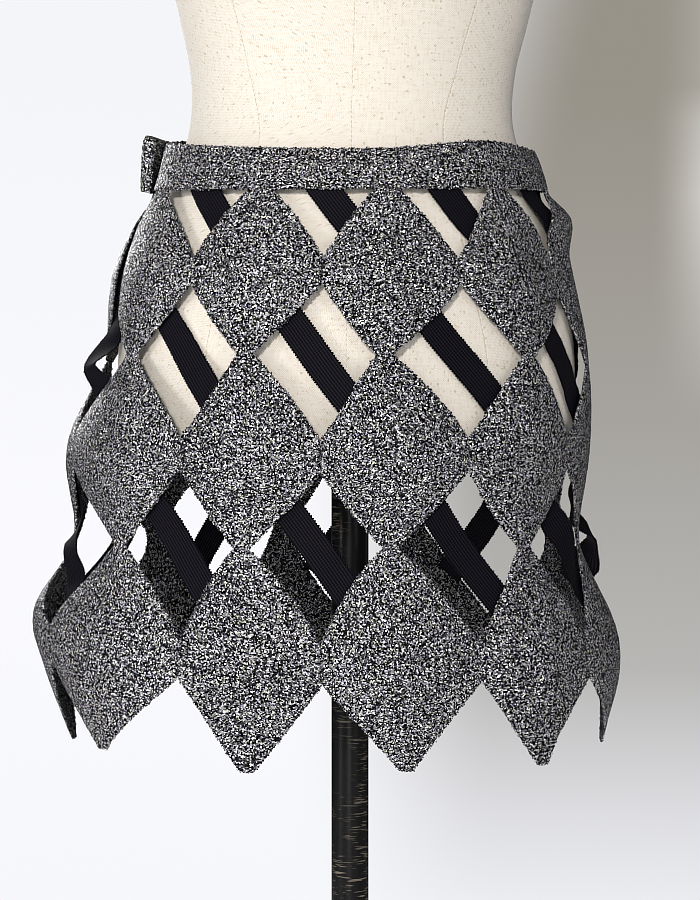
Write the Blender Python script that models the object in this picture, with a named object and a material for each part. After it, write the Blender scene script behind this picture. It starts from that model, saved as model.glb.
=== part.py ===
# Mini skirt of joined lame diamonds with diagonal elastic tapes, on a limbless dress form.
# Metres, +Z up, origin on the floor under the pole. The skirt's front faces -Y.

import math
from collections import namedtuple

import bpy
import bmesh
from mathutils import Vector

MM = 0.001

# Cloth walls and the seams between pieces
PANEL_WALL = 2.0 * MM          # diamond: two layers of knit, turned right side out
BAND_WALL = 2.4 * MM           # waistband: doubled knit
TAPE_WALL = 1.0 * MM           # ribbed elastic tape
TAPE_WIDTH = 20.0 * MM
SEAM_GAP = 0.3 * MM

# Skirt layout
COLUMNS = 10
COLUMN_NAMES = "Z A B C D E U V W X"
PANEL_SWELL = 3.0 * MM         # a diamond's centre stands this far out, a gap's centre in
SWELL_GROWS_TO = 0.7           # level by which the swell has grown from none at the band
SMALL_STEP = 0.01              # columns or levels, to measure a slope
PANEL_STRIPS = (0.0, 0.34, 0.62, 0.82, 1.0)   # where a half diamond is cut across
PANEL_CELLS = 6

# Rings of the skirt from the band's top to the tips. A level is half a diamond high.
Ring = namedtuple("Ring", "level height half_width half_depth shift_x shift_y phase front_rise")
RINGS = (
    Ring(-0.5, 1.0010, 0.1290, 0.0985, -0.0010, -0.003, -1.72, -0.0120),
    Ring(0.0, 0.9695, 0.1380, 0.1100, -0.0010, -0.003, -1.72, -0.0070),
    Ring(1.0, 0.9090, 0.1605, 0.1270, -0.0045, 0.000, -1.65, 0.0000),
    Ring(2.0, 0.8505, 0.1695, 0.1330, -0.0035, 0.000, -1.69, 0.0030),
    Ring(3.0, 0.7900, 0.1795, 0.1350, -0.0150, 0.000, -1.54, -0.0010),
    Ring(4.0, 0.7280, 0.1785, 0.1360, -0.0145, 0.000, -1.58, -0.0010),
    Ring(5.0, 0.6520, 0.2010, 0.1370, -0.0175, 0.000, -1.52, -0.0010),
    Ring(6.0, 0.5850, 0.1865, 0.1400, -0.0100, 0.000, -1.58, -0.0020),
)

# How far each joint has moved from its even place, in millimetres, a column of numbers for
# each column of diamonds: SLIPS to the right round the ring, LIFTS upwards, SWAYS outwards
Joints = namedtuple("Joints", "level " + COLUMN_NAMES)
SLIPS = (
    Joints(0.0, -22, -16, -3, 4, 6, 6, 3, 0, -5, -14),
    Joints(1.0, 2, -1, 0, 2, 1, 0, 0, 0, 0, 0),
    Joints(2.0, -4, 0, -1, -3, 6, -3, 0, 0, 0, 0),
    Joints(3.0, -15, 3, 0, 1, -7, -4, 0, 0, 0, 0),
    Joints(4.0, 4, 6, 0, 0, -2, -8, -25, -9, -3, 0),
    Joints(5.0, 0, 12, 1, 2, -14, -6, -14, -8, -18, -4),
    Joints(6.0, -8, -10, 1, 5, 2, 10, 0, 0, 0, 14),
)
LIFTS = (
    Joints(-0.5, 2, 2, 1, 1, 5, -4, -2, 0, 0, 0),
    Joints(0.0, 0, 0, 0, 0, 1, 0, 0, 0, 0, 0),
    Joints(1.0, 0, 0, -1, -1, -4, -3, 0, 0, 0, 0),
    Joints(2.0, 0, 2, 1, 0, 0, -3, 0, 0, 0, 0),
    Joints(3.0, 2, 0, -2, -1, -2, 0, 0, 0, 0, 0),
    Joints(4.0, -2, 0, 0, 1, -1, -3, 0, 0, 0, 0),
    Joints(5.0, 6, 3, 0, 1, -3, 0, 0, 0, -4, 0),
    Joints(6.0, 0, 6, -1, 0, -2, 0, 0, 0, 0, 12),
)
SWAYS = (
    Joints(0.0, 0, 0, 0, 0, 0, 0, 0, 0, 0, 0),
    Joints(0.06, 0, 0, 0, 0, 0, 0, 0, 0, 0, 0),
    Joints(0.32, 1, 0, 0, 0, 0, 9, 4, 0, 0, 0),
    Joints(0.7, -1, 0, 0, 0, 0, -1, -1, 0, 0, 0),
    Joints(1.2, -3, 0, 0, 0, 0, -3, 0, 0, 0, 0),
    Joints(2.0, 0, 0, 0, 0, 0, 0, 0, 0, 0, 0),
    Joints(3.3, 0, 0, 0, 0, 0, -2, 0, 0, 0, 0),
    Joints(4.0, 0, 0, 0, 0, 0, -4.5, 0, 0, 0, 0),
    Joints(4.6, 5, 0, 0, 0, 0, 0, 0, 0, 0, 0),
    Joints(5.2, -6, 0, 0, 0, 0, 0, 0, 0, 0, 0),
    Joints(6.0, 0, 0, 0, 0, 0, 0, 0, 0, 0, 0),
)

# Rows of diamonds: necks are half widths in shares of a column, and the side join is a share
# of half a diamond. The last four say how far each slanting edge bows out, in columns.
Row = namedtuple("Row", "top_neck bottom_neck side_join left_above right_above left_below right_below")
ROWS = (
    Row(0.095, 0.055, 0.14, 0.035, 0.035, 0.020, 0.030),
    Row(0.055, 0.052, 0.16, -0.010, 0.035, 0.025, 0.030),
    Row(0.050, 0.042, 0.17, 0.040, 0.045, -0.005, -0.010),
)
# Edges that bow differently from the rest of their row
OWN_EDGES = {
    ("Z", 2): {"right_above": -0.130},
    ("D", 0): {"left_above": -0.010, "left_below": 0.005},
    ("D", 2): {"left_above": -0.030, "right_below": -0.055},
    ("E", 0): {"top_neck": 0.140, "left_above": 0.140},
    ("D", 1): {"right_below": 0.030},
    ("E", 1): {"left_below": -0.050},
    ("U", 2): {"left_above": -0.070, "right_above": -0.100},
    ("V", 2): {"left_above": -0.030, "right_above": 0.0},
    ("W", 2): {"left_above": -0.060, "right_above": -0.070},
    ("X", 2): {"left_above": 0.0, "right_above": -0.170},
}
# The side opening: these two corners of the first row aren't joined, and stop short
OPEN_CORNERS = {("Z", 0): (0.0, 0.10), ("A", 0): (0.16, 0.0)}

# Waistband ends, counted in columns; the back end is turned over into a thick fold
BAND_FRONT_END = -0.16
BAND_BACK_END = 9.30
BAND_STEPS = 62
FOLD_COLUMNS = (9.21, 9.40)    # from on the band's back end to past it
FOLD_FOOT = 0.02               # level of its lower edge
FOLD_THICK = 9.0 * MM
FOLD_LEAN = 4.5 * MM           # thicker at its top, where the band slopes away
FOLD_LIFT = 5.0 * MM           # its front edge stands this far off the band's line at the top
FOLD_LIFTS_FROM = -0.5         # sideways, from -1 on the band to 1 at the front edge
FOLD_PEAK = 7.5 * MM           # its outer top edge stands above the band's
FOLD_ROUND_SIDES = 0.55        # how much of the thickness rounds away, squared
FOLD_ROUND_ENDS = 0.40
FOLD_LEAST = 0.05
FOLD_ROWS, FOLD_CELLS = 6, 4

# Tapes run down and to the right, half a column for each level
TAPE_STEP = 0.11               # levels
TAPE_SLOPE = 0.5
TAPE_SINK = 1.4 * MM           # further behind the diamonds than at its sewn start
TAPE_SINKS_OVER = 0.5          # levels
TAPE_EASING = 1.3              # how a moved start comes back to the slope
TAPE_END_LEVELS = (3.0, 4.2)   # where a moved end moves over
UPPER_GAP, LOWER_GAP = 2.0, 4.0   # levels of the gaps' centres
# Each tape runs between two levels: from behind the band, or behind the diamonds beside the
# opening, to behind an edge of the third row. Its start may be moved over, in columns, and
# comes back to the slope by the level given; its end may be moved over below the second row.
# Slack stands out in the two gaps that it crosses, in millimetres.
Tape = namedtuple("Tape", "letter start end start_moved moved_until end_moved upper_slack lower_slack")
TAPES = (
    Tape("Z", 0.42, 4.62, 0.25, 1.0, 0.00, 0, 2),
    Tape("A", -0.22, 4.62, 0.00, 1.0, 0.00, 0, 0),
    Tape("B", -0.22, 4.52, 0.00, 1.0, 0.01, 0, 0),
    Tape("C", -0.22, 4.46, 0.00, 1.0, 0.00, 2, 0),
    Tape("D", -0.22, 4.46, 0.00, 1.0, 0.05, 2, 4),
    Tape("E", -0.22, 4.46, 0.00, 1.0, 0.00, 3, 2),
    Tape("U", -0.22, 4.46, 0.00, 1.0, 0.00, 2, 3),
    Tape("V", -0.22, 4.62, 0.00, 1.0, -0.22, 2, 0),
    Tape("W", -0.22, 4.80, 0.00, 1.0, -0.15, 3, 0),
    Tape("X", -0.22, 4.62, 0.86, 2.4, 0.00, 0, 0),
)
SLACK_SAG = 0.05               # how far below a gap's centre the slack hangs, in levels
SLACK_BEGINS = 0.42            # share of the way from a gap's edge to its centre
SLACK_FULL = 0.88
# The loosest tapes hang out of their gaps in loops. Each edge of a loop, -1 the left and 1 the
# right, leaves the slope between two levels and comes back between two others, in millimetres.
Loop = namedtuple("Loop", "letter edge begins full back ends out")
LOOPS = (
    Loop("X", -1, 1.42, 2.10, 2.16, 2.44, 17.5),
    Loop("X", 1, 1.78, 2.26, 2.18, 2.34, 17.0),
    Loop("B", -1, 3.74, 3.96, 4.12, 4.44, 6.0),
    Loop("B", 1, 3.53, 3.86, 3.96, 4.38, 11.0),
    Loop("C", -1, 3.75, 4.02, 4.33, 4.50, 20.0),
    Loop("C", 1, 3.52, 3.98, 4.13, 4.30, 19.0),
    Loop("W", -1, 3.74, 4.00, 4.05, 4.38, 11.0),
    Loop("W", 1, 3.68, 4.08, 4.16, 4.36, 10.0),
)

# Dress form from its underside to the neck
Torso = namedtuple("Torso", "height half_width half_depth shift_x shift_y fullness")
TORSO = (
    Torso(0.7830, 0.1470, 0.1090, 0.000, 0.001, 2.1),
    Torso(0.7850, 0.1525, 0.1150, 0.000, 0.001, 2.1),
    Torso(0.7920, 0.1570, 0.1190, 0.000, 0.001, 2.1),
    Torso(0.8150, 0.1590, 0.1210, -0.0015, 0.001, 2.1),
    Torso(0.8450, 0.1595, 0.1226, -0.0025, 0.001, 2.1),
    Torso(0.8750, 0.1572, 0.1212, -0.0025, 0.000, 2.1),
    Torso(0.9100, 0.1490, 0.1165, -0.0025, -0.001, 2.1),
    Torso(0.9450, 0.1362, 0.1072, -0.0005, -0.002, 2.1),
    Torso(0.9800, 0.1225, 0.0965, 0.001, -0.002, 2.1),
    Torso(1.0150, 0.1125, 0.0870, 0.001, -0.001, 2.1),
    Torso(1.0500, 0.1130, 0.0880, 0.002, 0.000, 2.1),
    Torso(1.0850, 0.1205, 0.0940, 0.003, 0.000, 2.1),
    Torso(1.1250, 0.1300, 0.1030, 0.003, -0.003, 2.2),
    Torso(1.1700, 0.1385, 0.1130, 0.002, -0.008, 2.2),
    Torso(1.2150, 0.1450, 0.1160, 0.001, -0.008, 2.2),
    Torso(1.2600, 0.1540, 0.1080, 0.000, -0.002, 2.3),
    Torso(1.3050, 0.1670, 0.0960, 0.000, 0.006, 2.3),
    Torso(1.3400, 0.1740, 0.0850, 0.000, 0.012, 2.3),
    Torso(1.3650, 0.1640, 0.0745, 0.000, 0.016, 2.3),
    Torso(1.3820, 0.1300, 0.0670, 0.000, 0.018, 2.2),
    Torso(1.3940, 0.0950, 0.0620, 0.000, 0.018, 2.1),
    Torso(1.4080, 0.0680, 0.0580, 0.000, 0.017, 2.0),
    Torso(1.4300, 0.0580, 0.0550, 0.000, 0.014, 2.0),
    Torso(1.4600, 0.0560, 0.0540, 0.000, 0.010, 2.0),
    Torso(1.4660, 0.0530, 0.0510, 0.000, 0.010, 2.0),
)
TORSO_SEGMENTS = 32

# Stand: a round pole on a heavy round foot
POLE_RADIUS = 13.0 * MM
POLE_SEGMENTS = 24
FOOT_HUB_TOP = 0.060
Turn = namedtuple("Turn", "radius height")
FOOT_PROFILE = (
    Turn(0.1650, 0.0000),
    Turn(0.1700, 0.0030),
    Turn(0.1700, 0.0080),
    Turn(0.1660, 0.0110),
    Turn(0.0600, 0.0170),
    Turn(0.0300, 0.0230),
    Turn(0.0215, 0.0320),
    Turn(0.0200, FOOT_HUB_TOP - 0.002),
    Turn(0.0180, FOOT_HUB_TOP),
)
FOOT_SEGMENTS = 40

# Finishes: colour, roughness, metallic, from the picture
LAME = ("lame_knit", (0.115, 0.118, 0.125), 0.45, 0.55)
TAPE = ("black_elastic_tape", (0.008, 0.008, 0.013), 0.75, 0.0)
LINEN = ("cream_linen", (0.820, 0.760, 0.660), 0.90, 0.0)
ENAMEL = ("black_enamel", (0.010, 0.010, 0.011), 0.25, 0.0)


def material(finish):
    """One Principled material, shared by the pieces that have this finish."""
    name, colour, roughness, metallic = finish
    found = bpy.data.materials.get(name)
    if found:
        return found
    made = bpy.data.materials.new(name)
    made.use_nodes = True
    shader = made.node_tree.nodes["Principled BSDF"]
    shader.inputs["Base Color"].default_value = (*colour, 1.0)
    shader.inputs["Roughness"].default_value = roughness
    shader.inputs["Metallic"].default_value = metallic
    return made


def add_piece(name, bm, finish, sharp_angle=40.0):
    """Turns a closed bmesh into a named object with its faces pointing out."""
    bmesh.ops.recalc_face_normals(bm, faces=bm.faces)
    if bm.calc_volume(signed=True) < 0:
        bmesh.ops.reverse_faces(bm, faces=bm.faces)
    mesh = bpy.data.meshes.new(name)
    bm.to_mesh(mesh)
    bm.free()
    mesh.shade_smooth()
    mesh.set_sharp_from_angle(angle=math.radians(sharp_angle))
    mesh.materials.append(material(finish))
    piece = bpy.data.objects.new(name, mesh)
    bpy.context.scene.collection.objects.link(piece)
    return piece


def smooth_step(value, low, high):
    share = min(max((value - low) / (high - low), 0.0), 1.0)
    return share * share * (3.0 - 2.0 * share)


def smooth_between(knots, values, at):
    """A curve through values at knots: cubic pieces whose slopes come from the neighbours."""
    last = len(knots) - 1
    i = 0
    while i < last - 1 and at > knots[i + 1]:
        i += 1

    def slope(j):
        before, after = max(j - 1, 0), min(j + 1, last)
        return (values[after] - values[before]) / (knots[after] - knots[before])

    span = knots[i + 1] - knots[i]
    t = (at - knots[i]) / span
    return (
        (2 * t**3 - 3 * t**2 + 1) * values[i]
        + (t**3 - 2 * t**2 + t) * span * slope(i)
        + (3 * t**2 - 2 * t**3) * values[i + 1]
        + (t**3 - t**2) * span * slope(i + 1)
    )


def ring_at(level):
    """The skirt's ring at any level, read smoothly from the table."""
    levels = [ring.level for ring in RINGS]
    fields = Ring._fields[1:]
    return Ring(level, *(smooth_between(levels, [getattr(r, f) for r in RINGS], level) for f in fields))


def along_row(row, column):
    """A table row read at any column; odd levels hold the joints between columns."""
    place = column + 1.0 - (0.5 if row.level % 2 == 1 else 0.0)
    i = math.floor(place)
    t = place - i
    p = [row[1 + (i + step) % COLUMNS] for step in (-1, 0, 1, 2)]
    return p[1] + 0.5 * t * (
        p[2] - p[0] + t * (2 * p[0] - 5 * p[1] + 4 * p[2] - p[3] + t * (3 * (p[1] - p[2]) + p[3] - p[0]))
    )


def joint_move(table, column, level):
    levels = [row.level for row in table]
    values = [along_row(row, column) for row in table]
    return smooth_between(levels, values, min(max(level, levels[0]), levels[-1])) * MM


def skirt_point(column, level):
    """A point of the skirt's middle surface. Column 0 is A, and columns count to the right."""
    ring = ring_at(level)
    a, b = ring.half_width, ring.half_depth
    girth = 2.0 * math.pi * math.sqrt((a * a + b * b) / 2.0)
    slip = joint_move(SLIPS, column, level)
    turn = 2.0 * math.pi * ((column + ring.phase) / COLUMNS + slip / girth)
    # Even steps along an oval are not even angles
    angle = turn - 0.25 * (a * a - b * b) / (a * a + b * b) * math.sin(2.0 * turn)
    swell = 0.5 * (math.cos(2.0 * math.pi * column) - math.cos(math.pi * level))
    swell *= PANEL_SWELL * smooth_step(level, 0.0, SWELL_GROWS_TO)
    swell += joint_move(SWAYS, column, level)
    return Vector((
        ring.shift_x + (a + swell) * math.sin(angle),
        ring.shift_y - (b + swell) * math.cos(angle),
        ring.height + ring.front_rise * math.cos(angle) + joint_move(LIFTS, column, level),
    ))


def skirt_place(column, level):
    """The point, the outward normal, and the steps of one column and one level there."""
    point = skirt_point(column, level)
    across = skirt_point(column + SMALL_STEP, level) - skirt_point(column - SMALL_STEP, level)
    down = skirt_point(column, level + SMALL_STEP) - skirt_point(column, level - SMALL_STEP)
    across /= 2 * SMALL_STEP
    down /= 2 * SMALL_STEP
    return point, down.cross(across).normalized(), across, down


def moved_out(column, level, distance):
    point, normal, _, _ = skirt_place(column, level)
    return point + normal * distance


def wall_from_grid(outer, inner):
    """A closed wall from two grids of points of the same size."""
    bm = bmesh.new()
    rows, cols = len(outer), len(outer[0])
    front = [[bm.verts.new(p) for p in row] for row in outer]
    back = [[bm.verts.new(p) for p in row] for row in inner]
    for i in range(rows - 1):
        for j in range(cols - 1):
            bm.faces.new((front[i][j], front[i + 1][j], front[i + 1][j + 1], front[i][j + 1]))
            bm.faces.new((back[i][j], back[i][j + 1], back[i + 1][j + 1], back[i + 1][j]))
    rim = [(0, j) for j in range(cols)]
    rim += [(i, cols - 1) for i in range(1, rows)]
    rim += [(rows - 1, j) for j in range(cols - 2, -1, -1)]
    rim += [(i, 0) for i in range(rows - 2, 0, -1)]
    for (i, j), (k, m) in zip(rim, rim[1:] + rim[:1]):
        bm.faces.new((front[i][j], front[k][m], back[k][m], back[i][j]))
    return bm


def diamond_half_widths(height, row):
    """How far the diamond reaches to its left and right, in columns, at a height from -1 to 1."""
    share = max(abs(height) - row.side_join, 0.0) / (1.0 - row.side_join)
    if height < 0:
        neck, bows = row.top_neck, (row.left_above, row.right_above)
    else:
        neck, bows = row.bottom_neck, (row.left_below, row.right_below)
    return [0.5 + share * (neck - 0.5) + bow * 4.0 * share * (1.0 - share) for bow in bows]


def add_diamond(name, letter, column, row_number):
    """One double-faced diamond with blunt corners, a seam's gap short of its neighbours."""
    row = ROWS[row_number]._replace(**OWN_EDGES.get((letter, row_number), {}))
    short_left, short_right = OPEN_CORNERS.get((letter, row_number), (0.0, 0.0))
    centre = 2 * row_number + 1
    side = row.side_join
    lower = [side + (1.0 - side) * share for share in PANEL_STRIPS]
    heights = [-h for h in reversed(lower)] + lower
    across, down = skirt_place(column, centre)[2:]
    side_gap = 0.5 * SEAM_GAP / across.length
    end_gap = 0.5 * SEAM_GAP / down.length
    grids = {1: [], -1: []}
    for height in heights:
        level = centre + height * (1.0 - end_gap)
        left_half, right_half = diamond_half_widths(height, row)
        left = column - min(left_half, 0.5 - side_gap - short_left)
        right = column + min(right_half, 0.5 - side_gap - short_right)
        columns = [left + (right - left) * j / PANEL_CELLS for j in range(PANEL_CELLS + 1)]
        for face in grids:
            grids[face].append([moved_out(c, level, face * 0.5 * PANEL_WALL) for c in columns])
    return add_piece(name, wall_from_grid(grids[1], grids[-1]), LAME)


def add_waistband(name):
    """The doubled band, open at the wearer's right side, from its front end to its back end."""
    top = RINGS[0].level
    foot = -0.5 * SEAM_GAP / skirt_place(0.0, 0.0)[3].length
    levels = (top, 0.5 * (top + foot), foot)
    reach = BAND_BACK_END - BAND_FRONT_END
    columns = [BAND_FRONT_END + reach * i / BAND_STEPS for i in range(BAND_STEPS + 1)]
    half = 0.5 * BAND_WALL
    outer = [[moved_out(c, level, half) for c in columns] for level in levels]
    inner = [[moved_out(c, level, -half) for c in columns] for level in levels]
    return add_piece(name, wall_from_grid(outer, inner), LAME)


def add_band_fold(name):
    """The band's back end turned over outwards: a thick rounded fold lying on the band."""
    top = RINGS[0].level
    levels = [top + (FOLD_FOOT - top) * i / FOLD_ROWS for i in range(FOLD_ROWS + 1)]
    first, last = FOLD_COLUMNS
    under = 0.5 * BAND_WALL + SEAM_GAP
    outer, inner = [], []
    for i, level in enumerate(levels):
        down = 2.0 * i / FOLD_ROWS - 1.0
        near, far = [], []
        for j in range(FOLD_CELLS + 1):
            side = 2.0 * j / FOLD_CELLS - 1.0
            point, normal, _, _ = skirt_place(first + (last - first) * j / FOLD_CELLS, level)
            lift = FOLD_LIFT * 0.5 * (1.0 - down) * smooth_step(side, FOLD_LIFTS_FROM, 1.0)
            left = 1.0 - FOLD_ROUND_SIDES * side * side - FOLD_ROUND_ENDS * down**4
            round_off = math.sqrt(max(left, FOLD_LEAST))
            thick = (FOLD_THICK + FOLD_LEAN * 0.5 * (1.0 - down)) * round_off
            out = Vector((normal.x, normal.y, 0.0)).normalized() * thick
            out.z = FOLD_PEAK * round_off * max(-down, 0.0) ** 2
            near.append(point + normal * (under + lift))
            far.append(near[-1] + out)
        inner.append(near)
        outer.append(far)
    return add_piece(name, wall_from_grid(outer, inner), LAME)


def tape_column(tape, start, level):
    """The column that a tape's middle has reached at a level."""
    left_to_go = max(1.0 - level / tape.moved_until, 0.0)
    moved = tape.start_moved * left_to_go**TAPE_EASING
    moved += tape.end_moved * smooth_step(level, *TAPE_END_LEVELS)
    return start + TAPE_SLOPE * level + moved


def tape_slack(tape, column, level):
    """How far a loose tape stands out at a place in a gap; nothing behind a diamond."""
    out = 0.0
    for centre, amount in ((UPPER_GAP, tape.upper_slack), (LOWER_GAP, tape.lower_slack)):
        aside = abs((column % 1.0) - 0.5) / 0.5
        inside = 1.0 - aside - abs(level - centre - SLACK_SAG)
        out += amount * MM * smooth_step(inside, SLACK_BEGINS, SLACK_FULL)
    return out


def tape_loop(tape, level, edge):
    """How far a looped tape hangs out of its gap at a level, from its left edge to its right."""
    out = 0.0
    for loop in LOOPS:
        if loop.letter == tape.letter:
            left_slope = smooth_step(level, loop.begins, loop.full)
            not_back = 1.0 - smooth_step(level, loop.back, loop.ends)
            out += 0.5 * (1.0 + loop.edge * edge) * loop.out * MM * left_slope * not_back
    return out


def tape_row(tape, start, level):
    """Points across the tape's two faces at one level of its way down."""
    column = tape_column(tape, start, level)
    point, normal, across, down = skirt_place(column, level)
    slope = (tape_column(tape, start, level + SMALL_STEP) - column) / SMALL_STEP
    along = (across * slope + down).normalized()
    sideways = normal.cross(along).normalized() * (0.5 * TAPE_WIDTH)
    # The same step sideways, in columns and levels
    aa, ad, dd = across.dot(across), across.dot(down), down.dot(down)
    sa, sd = sideways.dot(across), sideways.dot(down)
    scale = aa * dd - ad * ad
    column_step = (sa * dd - sd * ad) / scale
    level_step = (sd * aa - sa * ad) / scale
    sink = 0.5 * BAND_WALL + SEAM_GAP + 0.5 * TAPE_WALL
    sink += TAPE_SINK * smooth_step(level, tape.start, tape.start + TAPE_SINKS_OVER)
    faces = ([], [])
    for share in (-1.0, 0.0, 1.0):
        c, v = column + share * column_step, level + share * level_step
        out = tape_slack(tape, c, v) + tape_loop(tape, level, share) - sink
        faces[0].append(moved_out(c, v, out + 0.5 * TAPE_WALL))
        faces[1].append(moved_out(c, v, out - 0.5 * TAPE_WALL))
    return faces


def add_tape(name, column, tape):
    """One tape from behind the band to behind a diamond of the third row."""
    outer, inner = [], []
    steps = round((tape.end - tape.start) / TAPE_STEP)
    for i in range(steps + 1):
        level = tape.start + (tape.end - tape.start) * i / steps
        front, back = tape_row(tape, column + 0.5, level)
        outer.append(front)
        inner.append(back)
    return add_piece(name, wall_from_grid(outer, inner), TAPE)


def oval(section, segments):
    """Points round one level of the dress form; a fullness over 2 squares its corners."""
    points = []
    for i in range(segments):
        angle = 2.0 * math.pi * i / segments
        power = 2.0 / section.fullness
        sin, cos = math.sin(angle), math.cos(angle)
        points.append(Vector((
            section.shift_x + section.half_width * math.copysign(abs(sin) ** power, sin),
            section.shift_y - section.half_depth * math.copysign(abs(cos) ** power, cos),
            section.height,
        )))
    return points


def closed_stack(rings):
    """A closed solid from rings of points, lowest first, with a flat cap at each end."""
    bm = bmesh.new()
    loops = [[bm.verts.new(p) for p in ring] for ring in rings]
    count = len(loops[0])
    for low, high in zip(loops, loops[1:]):
        for i in range(count):
            j = (i + 1) % count
            bm.faces.new((low[i], low[j], high[j], high[i]))
    bm.faces.new(list(reversed(loops[0])))
    bm.faces.new(loops[-1])
    return bm


def add_dress_form(name):
    rings = [oval(section, TORSO_SEGMENTS) for section in TORSO]
    return add_piece(name, closed_stack(rings), LINEN)


def circle(radius, height, segments):
    steps = [2.0 * math.pi * i / segments for i in range(segments)]
    return [Vector((radius * math.cos(t), radius * math.sin(t), height)) for t in steps]


def add_pole(name):
    """The pole stands on the foot's hub and ends just under the dress form."""
    low = FOOT_HUB_TOP + SEAM_GAP
    high = TORSO[0].height - SEAM_GAP
    rings = [circle(POLE_RADIUS, z, POLE_SEGMENTS) for z in (low, high)]
    return add_piece(name, closed_stack(rings), ENAMEL)


def add_foot(name):
    rings = [circle(turn.radius, turn.height, FOOT_SEGMENTS) for turn in FOOT_PROFILE]
    return add_piece(name, closed_stack(rings), ENAMEL)


def build():
    for old in list(bpy.data.objects):
        bpy.data.objects.remove(old, do_unlink=True)
    skirt = bpy.data.objects.new("skirt", None)
    stand = bpy.data.objects.new("stand", None)
    for group in (skirt, stand):
        bpy.context.scene.collection.objects.link(group)
    names = COLUMN_NAMES.split()
    pieces = [add_waistband("waistband"), add_band_fold("waistband_fold")]
    for i, letter in enumerate(names):
        for row_number in range(len(ROWS)):
            name = f"diamond_{letter}{row_number + 1}"
            pieces.append(add_diamond(name, letter, i - 1, row_number))
    for i, tape in enumerate(TAPES):
        pieces.append(add_tape(f"tape_{tape.letter}", i - 1, tape))
    for piece in pieces:
        piece.parent = skirt
    for piece in (add_dress_form("dress_form"), add_pole("pole"), add_foot("foot")):
        piece.parent = stand


build()
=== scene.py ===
import math

import bpy
import numpy as np
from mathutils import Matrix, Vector


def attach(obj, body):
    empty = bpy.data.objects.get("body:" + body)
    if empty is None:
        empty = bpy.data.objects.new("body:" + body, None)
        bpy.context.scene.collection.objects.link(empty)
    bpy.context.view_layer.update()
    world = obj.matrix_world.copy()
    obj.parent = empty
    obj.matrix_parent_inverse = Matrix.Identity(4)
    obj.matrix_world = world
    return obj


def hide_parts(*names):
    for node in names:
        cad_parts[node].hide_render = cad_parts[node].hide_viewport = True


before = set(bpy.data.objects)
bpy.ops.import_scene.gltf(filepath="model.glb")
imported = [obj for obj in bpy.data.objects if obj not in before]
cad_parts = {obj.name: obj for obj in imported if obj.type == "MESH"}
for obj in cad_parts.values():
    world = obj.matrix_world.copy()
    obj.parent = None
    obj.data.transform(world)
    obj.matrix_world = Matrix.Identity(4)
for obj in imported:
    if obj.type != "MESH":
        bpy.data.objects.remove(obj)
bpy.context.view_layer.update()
print("frame loaded:", len(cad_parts), "solids")

mm = 0.001
fullTurn = 2.0 * math.pi
body = "root"

# The skirt's cut, as in the solids. A level is half a diamond high; columns count to the right.
skirt = {
    "columns": 10,
    "letters": "ZABCDEUVWX",
    "seamGap": 0.3 * mm,
    "panelWall": 2.0 * mm,     # a diamond: two layers of knit turned right side out
    "bandWall": 2.4 * mm,      # the doubled waistband
    "tapeWall": 1.0 * mm,
    "tapeWidth": 20.0 * mm,
    "panelSwell": 3.0 * mm,    # diamonds stand out by this, gaps fall in by it
    "swellGrowsTo": 0.7,
    "smallStep": 0.01,
}

# level, height, half width, half depth, shift x, shift y, phase, front rise
ringTable = np.array((
    (-0.5, 1.0010, 0.1290, 0.0985, -0.0010, -0.003, -1.72, -0.0120),
    (0.0, 0.9695, 0.1380, 0.1100, -0.0010, -0.003, -1.72, -0.0070),
    (1.0, 0.9090, 0.1605, 0.1270, -0.0045, 0.000, -1.65, 0.0000),
    (2.0, 0.8505, 0.1695, 0.1330, -0.0035, 0.000, -1.69, 0.0030),
    (3.0, 0.7900, 0.1795, 0.1350, -0.0150, 0.000, -1.54, -0.0010),
    (4.0, 0.7280, 0.1785, 0.1360, -0.0145, 0.000, -1.58, -0.0010),
    (5.0, 0.6520, 0.2010, 0.1370, -0.0175, 0.000, -1.52, -0.0010),
    (6.0, 0.5850, 0.1865, 0.1400, -0.0100, 0.000, -1.58, -0.0020),
))

# How far the joints have moved from their even places, in mm: a level, then Z A B C D E U V W X
slipTable = (
    (0.0, -22, -16, -3, 4, 6, 6, 3, 0, -5, -14),
    (1.0, 2, -1, 0, 2, 1, 0, 0, 0, 0, 0),
    (2.0, -4, 0, -1, -3, 6, -3, 0, 0, 0, 0),
    (3.0, -15, 3, 0, 1, -7, -4, 0, 0, 0, 0),
    (4.0, 4, 6, 0, 0, -2, -8, -25, -9, -3, 0),
    (5.0, 0, 12, 1, 2, -14, -6, -14, -8, -18, -4),
    (6.0, -8, -10, 1, 5, 2, 10, 0, 0, 0, 14),
)
liftTable = (
    (-0.5, 2, 2, 1, 1, 5, -4, -2, 0, 0, 0),
    (0.0, 0, 0, 0, 0, 1, 0, 0, 0, 0, 0),
    (1.0, 0, 0, -1, -1, -4, -3, 0, 0, 0, 0),
    (2.0, 0, 2, 1, 0, 0, -3, 0, 0, 0, 0),
    (3.0, 2, 0, -2, -1, -2, 0, 0, 0, 0, 0),
    (4.0, -2, 0, 0, 1, -1, -3, 0, 0, 0, 0),
    (5.0, 6, 3, 0, 1, -3, 0, 0, 0, -4, 0),
    (6.0, 0, 6, -1, 0, -2, 0, 0, 0, 0, 12),
)
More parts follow.
